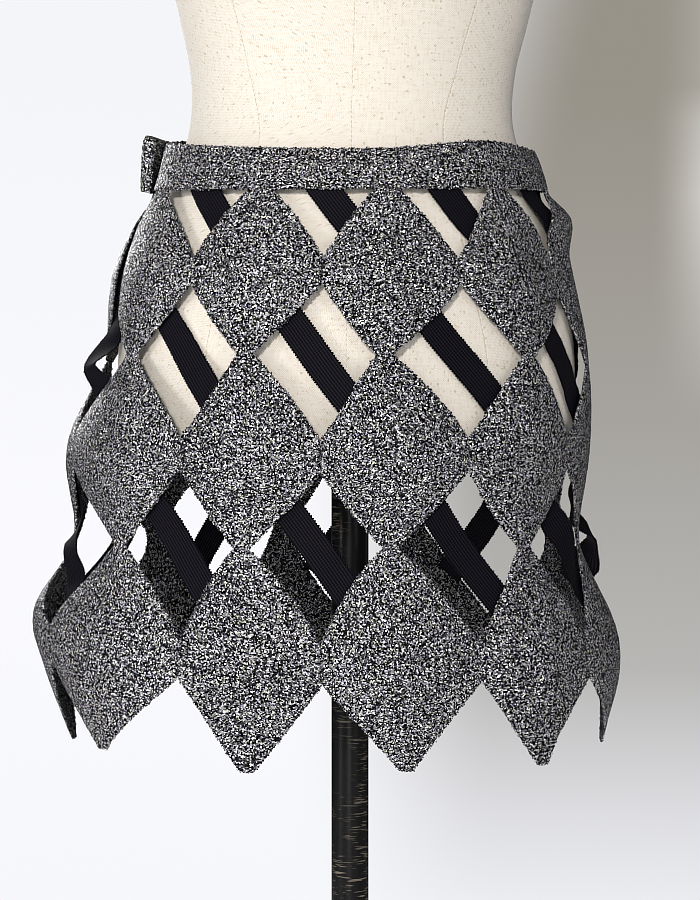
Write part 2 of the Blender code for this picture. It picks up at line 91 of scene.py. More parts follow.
swayTable = (
    (0.0, 0, 0, 0, 0, 0, 0, 0, 0, 0, 0),
    (0.06, 0, 0, 0, 0, 0, 0, 0, 0, 0, 0),
    (0.32, 1, 0, 0, 0, 0, 9, 4, 0, 0, 0),
    (0.7, -1, 0, 0, 0, 0, -1, -1, 0, 0, 0),
    (1.2, -3, 0, 0, 0, 0, -3, 0, 0, 0, 0),
    (2.0, 0, 0, 0, 0, 0, 0, 0, 0, 0, 0),
    (3.3, 0, 0, 0, 0, 0, -2, 0, 0, 0, 0),
    (4.0, 0, 0, 0, 0, 0, -4.5, 0, 0, 0, 0),
    (4.6, 5, 0, 0, 0, 0, 0, 0, 0, 0, 0),
    (5.2, -6, 0, 0, 0, 0, 0, 0, 0, 0, 0),
    (6.0, 0, 0, 0, 0, 0, 0, 0, 0, 0, 0),
)


def length(vectors):
    return np.linalg.norm(vectors, axis=-1)


def dot(first, second):
    return (first * second).sum(-1)


def travelled(path):
    # how far along a path each of its points lies
    return np.concatenate(((0.0,), np.cumsum(length(np.diff(path, axis=0)))))


def smoothStep(value, low, high):
    share = np.clip((value - low) / (high - low), 0.0, 1.0)
    return share * share * (3.0 - 2.0 * share)


def throughKnots(knots, values, at):
    # cubic pieces through the knots; values has a row for each knot and may have a column for each place
    knots = np.asarray(knots, float)
    values = np.asarray(values, float)
    last = len(knots) - 1
    if values.ndim == 1:
        values = np.repeat(values[:, None], at.size, axis=1)
    here = np.clip(np.searchsorted(knots, at, side="left") - 1, 0, last - 1)
    place = np.arange(at.size)

    def slope(knot):
        before, after = np.maximum(knot - 1, 0), np.minimum(knot + 1, last)
        return (values[after, place] - values[before, place]) / (knots[after] - knots[before])

    span = knots[here + 1] - knots[here]
    share = (at - knots[here]) / span
    squared, cubed = share**2, share**3
    return (
        (2 * cubed - 3 * squared + 1) * values[here, place]
        + (cubed - 2 * squared + share) * span * slope(here)
        + (3 * squared - 2 * cubed) * values[here + 1, place]
        + (cubed - squared) * span * slope(here + 1)
    )


def readTable(table, at):
    # every column of a table at the places asked for; its first column holds the knots
    return [throughKnots(table[:, 0], values, at) for values in table.T[1:]]


def alongRow(row, columns):
    # one row of a joint table read at any column; odd levels hold the joints between columns
    joints = np.array(row[1:], float)
    place = columns + 1.0 - (0.5 if row[0] % 2 == 1 else 0.0)
    first = np.floor(place).astype(int)
    share = place - first
    before, here, after, beyond = (joints[(first + step) % skirt["columns"]] for step in (-1, 0, 1, 2))
    bend = 2 * before - 5 * here + 4 * after - beyond + share * (3 * (here - after) + beyond - before)
    return here + 0.5 * share * (after - before + share * bend)


def jointMove(table, columns, levels):
    known = [row[0] for row in table]
    values = np.array([alongRow(row, columns) for row in table])
    return throughKnots(known, values, np.clip(levels, known[0], known[-1])) * mm


def skirtPoint(columns, levels):
    columns, levels = (np.asarray(x, float).ravel() for x in np.broadcast_arrays(columns, levels))
    height, wide, deep, shiftX, shiftY, phase, rise = readTable(ringTable, levels)
    girth = fullTurn * np.sqrt((wide * wide + deep * deep) / 2.0)
    slip = jointMove(slipTable, columns, levels)
    turn = fullTurn * ((columns + phase) / skirt["columns"] + slip / girth)
    # even steps round an ellipse, nearly
    angle = turn - 0.25 * (wide * wide - deep * deep) / (wide * wide + deep * deep) * np.sin(2.0 * turn)
    swell = 0.5 * (np.cos(fullTurn * columns) - np.cos(math.pi * levels))
    swell *= skirt["panelSwell"] * smoothStep(levels, 0.0, skirt["swellGrowsTo"])
    swell += jointMove(swayTable, columns, levels)
    return np.stack((
        shiftX + (wide + swell) * np.sin(angle),
        shiftY - (deep + swell) * np.cos(angle),
        height + rise * np.cos(angle) + jointMove(liftTable, columns, levels),
    ), axis=1)


def skirtPlace(columns, levels):
    # points, outward normals, and the steps of one column and of one level there
    step = skirt["smallStep"]
    shape = np.broadcast(columns, levels).shape
    across = (skirtPoint(columns + step, levels) - skirtPoint(columns - step, levels)) / (2 * step)
    down = (skirtPoint(columns, levels + step) - skirtPoint(columns, levels - step)) / (2 * step)
    normal = np.cross(down, across)
    normal /= length(normal)[:, None]
    return [x.reshape(*shape, 3) for x in (skirtPoint(columns, levels), normal, across, down)]


# Materials
# A range in a look is from low and from high, then to low and to high unless they are 0 and 1.


def colour(hexValue):
    # sRGB hex to the linear values that shaders work in
    parts = [int(hexValue[i:i + 2], 16) / 255 for i in (1, 3, 5)]
    return tuple(v / 12.92 if v <= 0.04045 else ((v + 0.055) / 1.055) ** 2.4 for v in parts) + (1.0,)


def fillNode(tree, node, inputs):
    for key, value in inputs.items():
        if isinstance(value, bpy.types.NodeSocket):
            tree.links.new(value, node.inputs[key])
        else:
            node.inputs[key].default_value = value


def addNode(tree, kind, inputs=None, **settings):
    node = tree.nodes.new(kind)
    for key, value in settings.items():
        setattr(node, key, value)
    fillNode(tree, node, inputs or {})
    return node


def addRamp(tree, factor, stops):
    ramp = addNode(tree, "ShaderNodeValToRGB", {"Fac": factor})
    bands = ramp.color_ramp
    while len(bands.elements) < len(stops):
        bands.elements.new(1.0)
    for element, (position, shade) in zip(bands.elements, stops):
        element.position = position
        element.color = colour(shade)
    return ramp.outputs["Color"]


def calculate(tree, operation, *values):
    return addNode(tree, "ShaderNodeMath", dict(enumerate(values)), operation=operation).outputs["Value"]


def vectorMath(tree, operation, *vectors, **named):
    inputs = {**dict(enumerate(vectors)), **named}
    node = addNode(tree, "ShaderNodeVectorMath", inputs, operation=operation)
    return node.outputs["Value" if operation == "DOT_PRODUCT" else "Vector"]


def remap(tree, value, fromLow, fromHigh, toLow=0.0, toHigh=1.0, smooth=False):
    inputs = {"Value": value, "From Min": fromLow, "From Max": fromHigh, "To Min": toLow, "To Max": toHigh}
    way = "SMOOTHSTEP" if smooth else "LINEAR"
    return addNode(tree, "ShaderNodeMapRange", inputs, interpolation_type=way).outputs["Result"]


def mixColours(tree, share, first, second, blend="MIX"):
    inputs = {"Factor": share, "A": first, "B": second}
    return addNode(tree, "ShaderNodeMix", inputs, data_type="RGBA", blend_type=blend).outputs["Result"]


def noise(tree, place, scale, detail=2.0, output="Fac"):
    inputs = {"Vector": place, "Scale": scale, "Detail": detail}
    return addNode(tree, "ShaderNodeTexNoise", inputs).outputs[output]


def stretched(tree, place, **settings):
    return addNode(tree, "ShaderNodeMapping", {"Vector": place, **settings}).outputs["Vector"]


def wave(tree, value, pitch):
    # from -1 to 1 and back over each pitch
    return calculate(tree, "SINE", calculate(tree, "MULTIPLY", value, fullTurn / pitch))


def split(tree, vector):
    return addNode(tree, "ShaderNodeSeparateXYZ", {"Vector": vector}).outputs


def bumps(tree, height, strength, distance):
    inputs = {"Height": height, "Strength": strength, "Distance": distance}
    return addNode(tree, "ShaderNodeBump", inputs).outputs["Normal"]


def clothPlace(tree):
    return addNode(tree, "ShaderNodeUVMap", uv_map="cloth").outputs["UV"]


def objectPlace(tree):
    return addNode(tree, "ShaderNodeTexCoord").outputs["Object"]


def startMaterial(name):
    made = bpy.data.materials.new(name)
    made.use_nodes = True
    tree = made.node_tree
    tree.nodes.clear()
    shader = addNode(tree, "ShaderNodeBsdfPrincipled")
    addNode(tree, "ShaderNodeOutputMaterial", {"Surface": shader.outputs["BSDF"]})
    return made, tree, shader


lameLook = {
    "stitch": 0.84 * mm,       # between stitches
    "scatter": 0.85,           # how unevenly they lie
    "tilt": 1.1,               # how unevenly they face
    "glint": (0.4, 0.8, 0.0, 0.85),      # metal of the light stitches
    "roughness": 0.36,
    "yarnGloss": 0.03,         # matt yarn between the glints
    "inner": (-0.02, 0.0, 0.36, 1.0),    # painted shade: faces turned towards the skirt's middle are darker, as the inside lies in shade
    "ribs": {"X": 4.5 * mm, "Y": 2.5 * mm},    # faint wales down the cloth and courses across it
    "ribLight": (-1.0, 1.0, 0.78, 1.18),
    "tones": ((0.0, "#000000"), (0.08, "#0A0A0D"), (0.28, "#202124"), (0.45, "#46474C"),
              (0.60, "#888A8F"), (0.73, "#D6D6DB"), (0.84, "#FFFFFF"), (1.0, "#FFFFFF")),
    "tints": ((0.0, "#E9E4FF"), (0.45, "#FFFFFF"), (0.75, "#FFFFFF"), (1.0, "#F2F4D8")),
}
# Sheets carry their stitches flat, edges and rolls through and through
knitKinds = {
    # groove: painted shade, each stitch darkens towards its rim as if in the hollow beside it
    "flat": {"place": clothPlace, "dimensions": "2D", "groove": (0.30, 0.75, 1.0, 0.2)},
    "through": {"place": objectPlace, "dimensions": "3D", "groove": (0.5, 1.0, 1.0, 0.2)},
}


def knitShade(tree, place, distance, groove, surface):
    # painted shade in the grooves between stitches, faint ribs, and painted shade on the inner face
    shade = remap(tree, distance, *groove)
    rows = split(tree, place)
    for axis, pitch in lameLook["ribs"].items():
        lit = remap(tree, wave(tree, rows[axis], pitch), *lameLook["ribLight"])
        shade = calculate(tree, "MULTIPLY", shade, lit)
    # painted shade: the knit is darkened where its face turns towards the skirt's middle
    fromPole = vectorMath(tree, "MULTIPLY", surface["Position"], (1.0, 1.0, 0.0))
    outward = vectorMath(tree, "DOT_PRODUCT", fromPole, surface["Normal"])
    return calculate(tree, "MULTIPLY", shade, remap(tree, outward, *lameLook["inner"]))


def stitchFacing(tree, position, normal):
    # each stitch faces its own way
    facing = addNode(tree, "ShaderNodeTexWhiteNoise", {"Vector": position}, noise_dimensions="3D")
    lean = vectorMath(tree, "ADD", facing.outputs["Color"], (-0.5, -0.5, -0.5))
    lean = vectorMath(tree, "SCALE", lean, Scale=lameLook["tilt"])
    return vectorMath(tree, "NORMALIZE", vectorMath(tree, "ADD", normal, lean))


def lameKnit(name, kind):
    # Lame: black yarn knitted with a flat metallised thread. Each stitch shows black, or
    # glints white at its own angle, so the cloth looks like coarse sparkling grain.
    made, tree, shader = startMaterial(name)
    look, lies = lameLook, knitKinds[kind]
    place = lies["place"](tree)
    spread = {"Vector": place, "Scale": 1.0 / look["stitch"], "Randomness": look["scatter"]}
    stitches = addNode(tree, "ShaderNodeTexVoronoi", spread,
                       voronoi_dimensions=lies["dimensions"], feature="F1").outputs
    random = addNode(tree, "ShaderNodeSeparateColor", {"Color": stitches["Color"]}).outputs
    tone = addRamp(tree, random["Red"], look["tones"])
    tinted = mixColours(tree, 1.0, tone, addRamp(tree, random["Green"], look["tints"]), "MULTIPLY")
    surface = addNode(tree, "ShaderNodeNewGeometry").outputs
    shade = knitShade(tree, place, stitches["Distance"], lies["groove"], surface)
    fillNode(tree, shader, {
        "Base Color": mixColours(tree, 1.0, tinted, shade, "MULTIPLY"),
        "Metallic": remap(tree, random["Red"], *look["glint"]),
        "Normal": stitchFacing(tree, stitches["Position"], surface["Normal"]),
        "Roughness": look["roughness"],
        "Specular IOR Level": look["yarnGloss"],
    })
    return made


tapeLook = {
    "tones": ((0.0, "#020204"), (0.25, "#020204"), (1.0, "#1F1C29")),
    "ribs": 10,                # lengthwise cords across the tape
    "ribShade": -0.5,
    "selvedge": 0.5 * mm,      # flat border beside the first and last cord
    "pick": 1.6 * mm,          # cross threads, drawn a little coarser than real to show
    "pickShade": 0.22,
    "fuzz": 0.5 * mm,
    "levels": (0.0, 1.2),
    "bump": (0.7, 0.25 * mm),  # strength and depth
    "roughness": 0.7,
    "gloss": 0.08,
}


def elasticTape():
    # Woven elastic: polyester over rubber cords, matt near-black with a blue cast, ribbed
    # along its length, its cross threads showing where it is stretched.
    made, tree, shader = startMaterial("blackElasticTape")
    look = tapeLook
    place = clothPlace(tree)
    ways = split(tree, place)
    ribTurns = fullTurn * look["ribs"] / (skirt["tapeWidth"] - 2.0 * look["selvedge"])
    ribs = calculate(tree, "MULTIPLY_ADD", ways["X"], ribTurns, -ribTurns * look["selvedge"])
    fuzz = noise(tree, place, 1.0 / look["fuzz"])
    cords = calculate(tree, "MULTIPLY_ADD", calculate(tree, "COSINE", ribs), look["ribShade"], fuzz)
    weave = calculate(tree, "MULTIPLY_ADD", wave(tree, ways["Y"], look["pick"]), look["pickShade"], cords)
    fillNode(tree, shader, {
        "Base Color": addRamp(tree, remap(tree, weave, *look["levels"]), look["tones"]),
        "Normal": bumps(tree, weave, *look["bump"]),
        "Roughness": look["roughness"],
        "Specular IOR Level": look["gloss"],
    })
    return made


linenLook = {
    "thread": 1.45 * mm,       # coarser than the real 0.5 mm threads, so that it shows
    "tones": ((0.0, "#D5C8B4"), (0.60, "#E9E3DA"), (1.0, "#E9E3DA")),
    "levels": (0.30, 1.50),
    "contrast": 0.42,          # of the weave against its thick and thin threads
    "streakScale": 700.0,
    "streakSqueeze": 0.14,
    "wobbleScale": 260.0,
    "wobble": 0.6 * mm,
    "slub": "#A8906E",
    "slubScale": 420.0,
    "slubs": (0.70, 0.78, 0.0, 0.45),
    "bump": (0.5, 0.10 * mm),  # strength and depth
    "roughness": 0.88,
    "sheen": 0.15,
    "sheenRoughness": 0.5,
}


def linenWeave(tree, place):
    # two waves cross where the threads do, with thick and thin threads both ways
    look = linenLook
    waver = vectorMath(tree, "MULTIPLY", noise(tree, place, look["wobbleScale"], output="Color"),
                       (look["wobble"], look["wobble"], 0.0))
    ways = split(tree, vectorMath(tree, "ADD", place, waver))
    weave = calculate(tree, "MULTIPLY", *(wave(tree, ways[axis], look["thread"]) for axis in "XY"))
    thin = look["streakSqueeze"]
    streaks = [noise(tree, stretched(tree, place, Scale=squeeze), look["streakScale"], 1.0)
               for squeeze in ((1.0, thin, 1.0), (thin, 1.0, 1.0))]
    return calculate(tree, "MULTIPLY_ADD", weave, look["contrast"], calculate(tree, "ADD", *streaks))


def coverLinen():
    # Plain-woven unbleached linen: matt, with thick and thin threads, pale slubs and flecks.
    made, tree, shader = startMaterial("creamLinen")
    look = linenLook
    place = clothPlace(tree)
    weave = linenWeave(tree, place)
    base = addRamp(tree, remap(tree, weave, *look["levels"]), look["tones"])
    slubs = remap(tree, noise(tree, place, look["slubScale"], 0.0), *look["slubs"])
    fillNode(tree, shader, {
        "Base Color": mixColours(tree, slubs, base, colour(look["slub"])),
        "Normal": bumps(tree, weave, *look["bump"]),
        "Roughness": look["roughness"],
        "Sheen Weight": look["sheen"],
        "Sheen Roughness": look["sheenRoughness"],
    })
    return made


threadLook = {
    "scale": 900.0,
    "tones": ((0.3, "#B9A88C"), (0.7, "#D9CBB2")),
    "roughness": 0.8,
}


def mottledMaterial(name, scale, tones, roughness):
    made, tree, shader = startMaterial(name)
    tone = addRamp(tree, noise(tree, objectPlace(tree), scale), tones)
    fillNode(tree, shader, {"Base Color": tone, "Roughness": roughness})
    return made


enamelLook = {
    "black": "#020203",
    "scratch": "#B5A998",
    "roughness": (0.0, 1.0, 0.32, 0.36),       # where it isn't scratched, and where it is
    "gloss": 0.30,
    "scratches": ((0.10, 900.0), (-0.16, 620.0)),    # slant and density of each set
    "scratchSqueeze": (0.10, 0.10, 1.0),
    "marks": (0.62, 0.71, 0.0, 0.9),
    "patchScale": 18.0,
    "worn": (0.44, 0.68),
    "upright": (0.6, 0.2),
}


def blackEnamel():
    # Gloss black stoved enamel on steel tube, with fine rubbed scratches round it.
    made, tree, shader = startMaterial("blackEnamel")
    look = enamelLook
    place = objectPlace(tree)
    marks = []
    for slant, density in look["scratches"]:
        turned = stretched(tree, place, Rotation=(0.0, slant, 0.0), Scale=look["scratchSqueeze"])
        marks.append(remap(tree, noise(tree, turned, density, 1.0), *look["marks"]))
    worn = remap(tree, noise(tree, place, look["patchScale"]), *look["worn"])
    scratched = calculate(tree, "MULTIPLY", calculate(tree, "MAXIMUM", *marks), worn)
    # only upright faces are rubbed, as the tube is
    facing = split(tree, addNode(tree, "ShaderNodeNewGeometry").outputs["Normal"])
    upright = remap(tree, calculate(tree, "ABSOLUTE", facing["Z"]), *look["upright"])
    scratched = calculate(tree, "MULTIPLY", scratched, upright)
    fillNode(tree, shader, {
        "Base Color": mixColours(tree, scratched, colour(look["black"]), colour(look["scratch"])),
        "Roughness": remap(tree, scratched, *look["roughness"]),
        "Metallic": scratched,     # rubbed through to the steel
        "Specular IOR Level": look["gloss"],
    })
    return made


lameMaterial = lameKnit("lameKnit", "flat")
loopMaterial = lameKnit("lameKnitLoops", "through")
tapeMaterial = elasticTape()
linenMaterial = coverLinen()
# cotton sewing thread, a shade darker than the cover
threadMaterial = mottledMaterial("seamThread", **threadLook)
enamelMaterial = blackEnamel()
print("materials made")


# Meshes


def addObject(name, data):
    made = bpy.data.objects.new(name, data)
    bpy.context.scene.collection.objects.link(made)
    return made


def smoothObject(name, mesh, material):
    mesh.shade_smooth()
    mesh.materials.append(material)
    return addObject(name, mesh)


def makeMesh(name, points, faces, uv, material):
    # uv has a row for each point
    mesh = bpy.data.meshes.new(name)
    mesh.from_pydata([tuple(point) for point in points], [], faces)
    layer = mesh.uv_layers.new(name="cloth")
    corners = np.empty(len(mesh.loops), dtype=np.int64)
    mesh.loops.foreach_get("vertex_index", corners)
    layer.data.foreach_set("uv", np.asarray(uv, dtype=np.float32)[corners].ravel())
    mesh.validate()
    return smoothObject(name, mesh, material)


def register(piece, slotName, *nodes):
    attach(piece, body)
    if nodes:
        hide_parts(*nodes)


def doubleSheet(front, back):
    # A closed cloth from two grids of the same size that share their rim. Gives points and faces.
    rows, columns = front.shape[:2]
    index = np.arange(rows * columns).reshape(rows, columns)
    behind = np.full((rows, columns), -1)
    behind[0], behind[-1], behind[:, 0], behind[:, -1] = index[0], index[-1], index[:, 0], index[:, -1]
    inside = behind < 0
    behind[inside] = rows * columns + np.arange(inside.sum())
    points = np.concatenate((front.reshape(-1, 3), back[inside]))
    faces = np.stack((index[:-1, :-1], index[1:, :-1], index[1:, 1:], index[:-1, 1:]), axis=-1)
    hind = np.stack((behind[:-1, :-1], behind[:-1, 1:], behind[1:, 1:], behind[1:, :-1]), axis=-1)
    rim = np.concatenate((index[0], index[1:, -1], index[-1, -2::-1], index[-2:0:-1, 0]))
    return points, np.concatenate((faces.reshape(-1, 4), hind.reshape(-1, 4))).tolist(), inside, rim


def joinRings(low, high):
    # faces between two rings of points; where a ring is one point repeated they are triangles
    ahead = [*range(1, len(low)), 0]
    return [tuple(dict.fromkeys((low[k], low[m], high[m], high[k]))) for k, m in enumerate(ahead)]


def makeCloth(name, sheets, across, down, material, shift=0.0):
    # One piece from its outer and inner face; across and down place each point on the flat cloth.
    # Gives the piece and the points of its rim.
    points, faces, inside, rim = doubleSheet(*sheets)
    flat = np.stack(np.broadcast_arrays(across, down), axis=-1)
    uv = np.concatenate((flat.reshape(-1, 2), flat[inside])) + shift
    return makeMesh(name, points, faces, uv, material), points[rim]


def insetShares(width, cell, insets, steps=None):
    # shares of a width: a few places close to both ends, then even steps between them
    insets = np.array(insets)
    steps = steps or max(int(round((width - 2 * insets[-1]) / cell)), 2)
    middle = np.linspace(insets[-1], width - insets[-1], steps + 1)
    return np.concatenate((insets[:-1], middle, width - insets[-2::-1])) / width


def nearestEnd(shares):
    return np.minimum(shares, 1.0 - shares)


def roundedEdge(distance, radius):
    return np.sqrt(1.0 - (1.0 - np.clip(distance / radius, 0.0, 1.0)) ** 2)


def creaseShape(aside, wide, deep):
    # a soft groove, wide and deep in mm
    return deep * mm * np.exp(-(aside / (wide * mm)) ** 2)


# Diamonds

clothLook = {
    "cell": 1.9 * mm,
    "fewestCells": 8,
    "edgeSteps": (0.0, 0.3 * mm, 1.0 * mm, 2.3 * mm),
    "edgeRadius": 1.3 * mm,
    "puff": 0.45 * mm,         # the two layers part a little in the middle
    "innerPuff": 0.35,         # of the outer
    "puffGrowsOver": 16.0 * mm,
    "creasesGrowOver": 9.0 * mm,
    "grain": 0.10 * mm,        # stitches stand in and out
    "grainBegins": 1.5 * mm,   # from the edge
    "roughEdge": 0.30 * mm,
}

# Rows of diamonds, as in the solids: neck half widths in columns, the side joins' share of half
# a diamond, and how far each slanting edge bows out, in columns
rowLook = (
    {"topNeck": 0.095, "bottomNeck": 0.055, "sideJoin": 0.14,
     "leftAbove": 0.035, "rightAbove": 0.035, "leftBelow": 0.020, "rightBelow": 0.030},
    {"topNeck": 0.055, "bottomNeck": 0.052, "sideJoin": 0.16,
     "leftAbove": -0.010, "rightAbove": 0.035, "leftBelow": 0.025, "rightBelow": 0.030},
    {"topNeck": 0.050, "bottomNeck": 0.042, "sideJoin": 0.17,
     "leftAbove": 0.040, "rightAbove": 0.045, "leftBelow": -0.005, "rightBelow": -0.010},
)
ownEdges = {
    "Z3": {"rightAbove": -0.130},
    "D1": {"leftAbove": -0.010, "leftBelow": 0.005},
    "D3": {"leftAbove": -0.030, "rightBelow": -0.055},
    "E1": {"topNeck": 0.140, "leftAbove": 0.140},
    "D2": {"rightBelow": 0.030},
    "E2": {"leftBelow": -0.050},
    "U3": {"leftAbove": -0.070, "rightAbove": -0.100},
    "V3": {"leftAbove": -0.030, "rightAbove": 0.0},
    "W3": {"leftAbove": -0.060, "rightAbove": -0.070},
    "X3": {"leftAbove": 0.0, "rightAbove": -0.170},
}
openCorners = {"Z1": (0.0, 0.10), "A1": (0.16, 0.0)}   # the side opening, left and right

# Soft creases of each diamond: from and to in half diamonds across and down from its centre,
# then how wide and how deep in mm; less than nothing is a ridge
creaseTable = {
    "A1": ((-0.4, -0.3, 0.3, 0.5, 7, 0.7),),
    "A2": ((-0.6, -0.1, 0.2, 0.5, 9, 0.9), (0.1, -0.6, 0.4, 0.1, 7, -0.8)),
    "A3": ((-0.3, -0.4, 0.4, 0.2, 8, 0.8),),
    "B1": ((-0.5, 0.0, 0.1, -0.5, 8, 0.7), (0.0, 0.3, 0.5, 0.1, 7, -0.6)),
    "B2": ((-0.3, -0.5, 0.3, -0.2, 8, 0.6), (-0.4, 0.2, 0.3, 0.5, 9, -0.7)),
    "B3": ((-0.2, -0.6, -0.4, 0.1, 8, 0.9), (0.1, 0.0, 0.2, 0.6, 7, -0.6)),
    "C1": ((-0.2, -0.5, 0.4, -0.1, 8, 0.8), (-0.4, 0.1, 0.1, 0.5, 8, -0.6)),
    "C2": ((-0.1, -0.6, 0.2, 0.0, 9, -0.7), (-0.5, 0.1, 0.0, 0.5, 8, 0.7)),
    "C3": ((-0.5, -0.1, 0.2, -0.3, 8, 0.8), (0.1, 0.1, -0.1, 0.6, 7, -0.7)),
    "D1": ((-0.1, -0.6, 0.0, 0.2, 8, -0.8), (0.3, -0.3, 0.4, 0.4, 7, 0.7)),
    "D2": ((-0.4, -0.2, 0.3, 0.1, 9, 0.8),),
    "D3": ((0.2, -0.5, 0.1, 0.4, 8, -0.8), (-0.4, -0.1, -0.1, 0.4, 7, 0.7)),
    "E1": ((0.0, -0.5, 0.2, 0.3, 8, 0.7),),
    "E2": ((-0.3, -0.3, 0.0, 0.4, 8, 0.8),),
    "E3": ((0.1, -0.4, -0.1, 0.5, 8, -0.8),),
    "U1": ((-0.3, -0.4, 0.3, 0.0, 8, 0.7),),
    "U2": ((0.0, -0.5, 0.3, 0.3, 9, -0.8),),
    "U3": ((-0.3, 0.0, 0.3, 0.4, 8, 0.8),),
    "V1": ((-0.1, -0.5, 0.2, 0.2, 8, -0.7),),
    "V2": ((-0.4, 0.1, 0.2, -0.2, 8, 0.8),),
    "V3": ((0.0, -0.5, 0.1, 0.5, 9, 0.8),),
    "W1": ((-0.4, -0.1, 0.1, 0.4, 8, 0.6),),
    "W2": ((0.0, -0.6, -0.2, 0.3, 8, 0.8),),
    "W3": ((-0.2, -0.4, 0.3, 0.2, 8, -0.8),),
    "X1": ((0.1, -0.5, 0.0, 0.4, 8, 0.7),),
    "X2": ((-0.4, -0.2, 0.3, 0.2, 9, -0.7),),
    "X3": ((-0.1, -0.5, -0.3, 0.4, 8, 0.8),),
    "Z1": ((-0.3, -0.3, 0.1, 0.4, 8, 0.7),),
    "Z2": ((-0.2, -0.5, 0.3, 0.1, 8, 0.8),),
    "Z3": ((0.0, -0.4, -0.2, 0.5, 9, -0.8),),
}
creaseFade = {"begins": -0.25, "full": 0.3}    # shares of its length, and the same at its other end

# edge paths of each part, for the knit loops
rims = {"row1": [], "row2": [], "row3": [], "waistband": []}


def creaseDepth(name, x, y, halfWidth, halfHeight):
    # how far the cloth falls in at places x, y in half diamonds from its centre
    depth = 0.0 * (x + y)
    half = np.array((halfWidth, halfHeight))
    places = np.stack(np.broadcast_arrays(x * halfWidth, y * halfHeight), axis=-1)
    begins, full = creaseFade["begins"], creaseFade["full"]
    for fromX, fromY, toX, toY, wide, deep in creaseTable[name]:
        start = np.array((fromX, fromY)) * half
        line = np.array((toX, toY)) * half - start
        away = places - start
        share = away @ line / (line @ line)
        aside = length(away - np.clip(share, 0.0, 1.0)[..., None] * line)
        fade = smoothStep(share, begins, full) * smoothStep(share, 1.0 - begins, 1.0 - full)
        depth += fade * creaseShape(aside, wide, deep)
    return depth


def diamondHalfWidths(height, row):
    join = row["sideJoin"]
    share = np.maximum(np.abs(height) - join, 0.0) / (1.0 - join)
    neck = np.where(height < 0, row["topNeck"], row["bottomNeck"])
    sides = []
    for above, below in (("leftAbove", "leftBelow"), ("rightAbove", "rightBelow")):
        bow = np.where(height < 0, row[above], row[below])
        sides.append(0.5 + share * (neck - 0.5) + bow * 4.0 * share * (1.0 - share))
    return sides


def diamondGrid(name, column, rowNumber, across, down):
    # heights from -1 to 1, both edges in columns at each, and each row's shares of its width
    look = clothLook
    heights = 2.0 * insetShares(2.0 * down, look["cell"], look["edgeSteps"]) - 1.0
    halves = diamondHalfWidths(heights, {**rowLook[rowNumber], **ownEdges.get(name, {})})
    most = 0.5 - 0.5 * skirt["seamGap"] / across
    shortLeft, shortRight = openCorners.get(name, (0.0, 0.0))
    left = column - np.minimum(halves[0], most - shortLeft)
    right = column + np.minimum(halves[1], most - shortRight)
    widths = (right - left) * across
    steps = max(int(round(widths.max() / look["cell"])), look["fewestCells"])
    # where a row is narrow its edge steps are too
    insets = np.array(look["edgeSteps"])
    shares = [insetShares(width, look["cell"], insets * min(1.0, width / (3.0 * insets[-1])), steps)
              for width in widths]
    return heights, left, right, np.array(shares)


def diamondSheets(columns, levels, toEdge, fall, shares, random):
    # the outer and inner face, a little uneven, with a rough knit edge
    look = clothLook
    point, normal, stepAcross, _ = skirtPlace(columns, levels)
    thick = 0.5 * skirt["panelWall"] * roundedEdge(toEdge, look["edgeRadius"])
    puff = look["puff"] * smoothStep(toEdge, 0.0, look["puffGrowsOver"])
    free = smoothStep(toEdge, 0.0, look["grainBegins"])
    sheets = []
    for face, puffShare in ((1, 1.0), (-1, look["innerPuff"])):
        grain = random.normal(0.0, look["grain"], columns.shape) * free
        rise = face * (thick + puff * puffShare) + grain - fall
        sheets.append(point + normal * rise[..., None])
    rough = random.normal(0.0, look["roughEdge"], columns.shape) * (1.0 - free)
    atSide = np.sign(shares - 0.5) * rough
    aside = stepAcross / length(stepAcross)[..., None] * atSide[..., None]
    return [sheet + aside for sheet in sheets]


def makeDiamond(letter, column, rowNumber, seed):
    name = f"{letter}{rowNumber + 1}"
    centre = 2 * rowNumber + 1
    across, down = (length(step) for step in skirtPlace(column, centre)[2:])
    heights, left, right, shares = diamondGrid(name, column, rowNumber, across, down)
    tall = heights[:, None]
    columns = left[:, None] + (right - left)[:, None] * shares
    endGap = 0.5 * skirt["seamGap"] / down
    # distance to the nearest edge, with the slant of the sides taken in
    slant = np.cos(np.arctan(np.abs(np.gradient(right - left, heights)) * 0.5 * across / down))[:, None]
    toSide = np.minimum(columns - left[:, None], right[:, None] - columns) * across * slant
    toEdge = np.minimum(toSide, (1.0 - np.abs(tall)) * down)
    fall = creaseDepth(name, (columns - column) * 2.0, tall, 0.5 * across, down)
    fall *= smoothStep(toEdge, 0.0, clothLook["creasesGrowOver"])
    sheets = diamondSheets(columns, centre + tall * (1.0 - endGap), toEdge, fall, shares,
                           np.random.default_rng(seed))
    piece, rim = makeCloth(f"knit_{name}", sheets, (columns - column) * across, -tall * down,
                           lameMaterial, 0.5 * seed)
    rims[f"row{rowNumber + 1}"].append(rim)
    register(piece, "lame_knit", f"diamond_{name}")


for number, letter in enumerate(skirt["letters"]):
    for rowNumber in range(len(rowLook)):
        makeDiamond(letter, number - 1, rowNumber, 11 * number + rowNumber + 1)
print("diamonds made:", len(skirt["letters"]) * len(rowLook))


# Waistband

bandLook = {
    "frontEnd": -0.16,         # columns
    "backEnd": 9.30,
    "cell": 2.6 * mm,
    "edgeRadius": 1.6 * mm,
    "puff": 0.5 * mm,
    "puffGrowsOver": 0.4,      # of its height
    "grain": 0.10 * mm,
    "roughEdge": 0.25 * mm,
    "creasesGrowOver": 4.0 * mm,
    "heightLevel": -0.2,       # its height and girth are measured here
    "girthLevel": -0.25,
    "girthColumns": (0, 9, 60),
    "seed": 7,
}
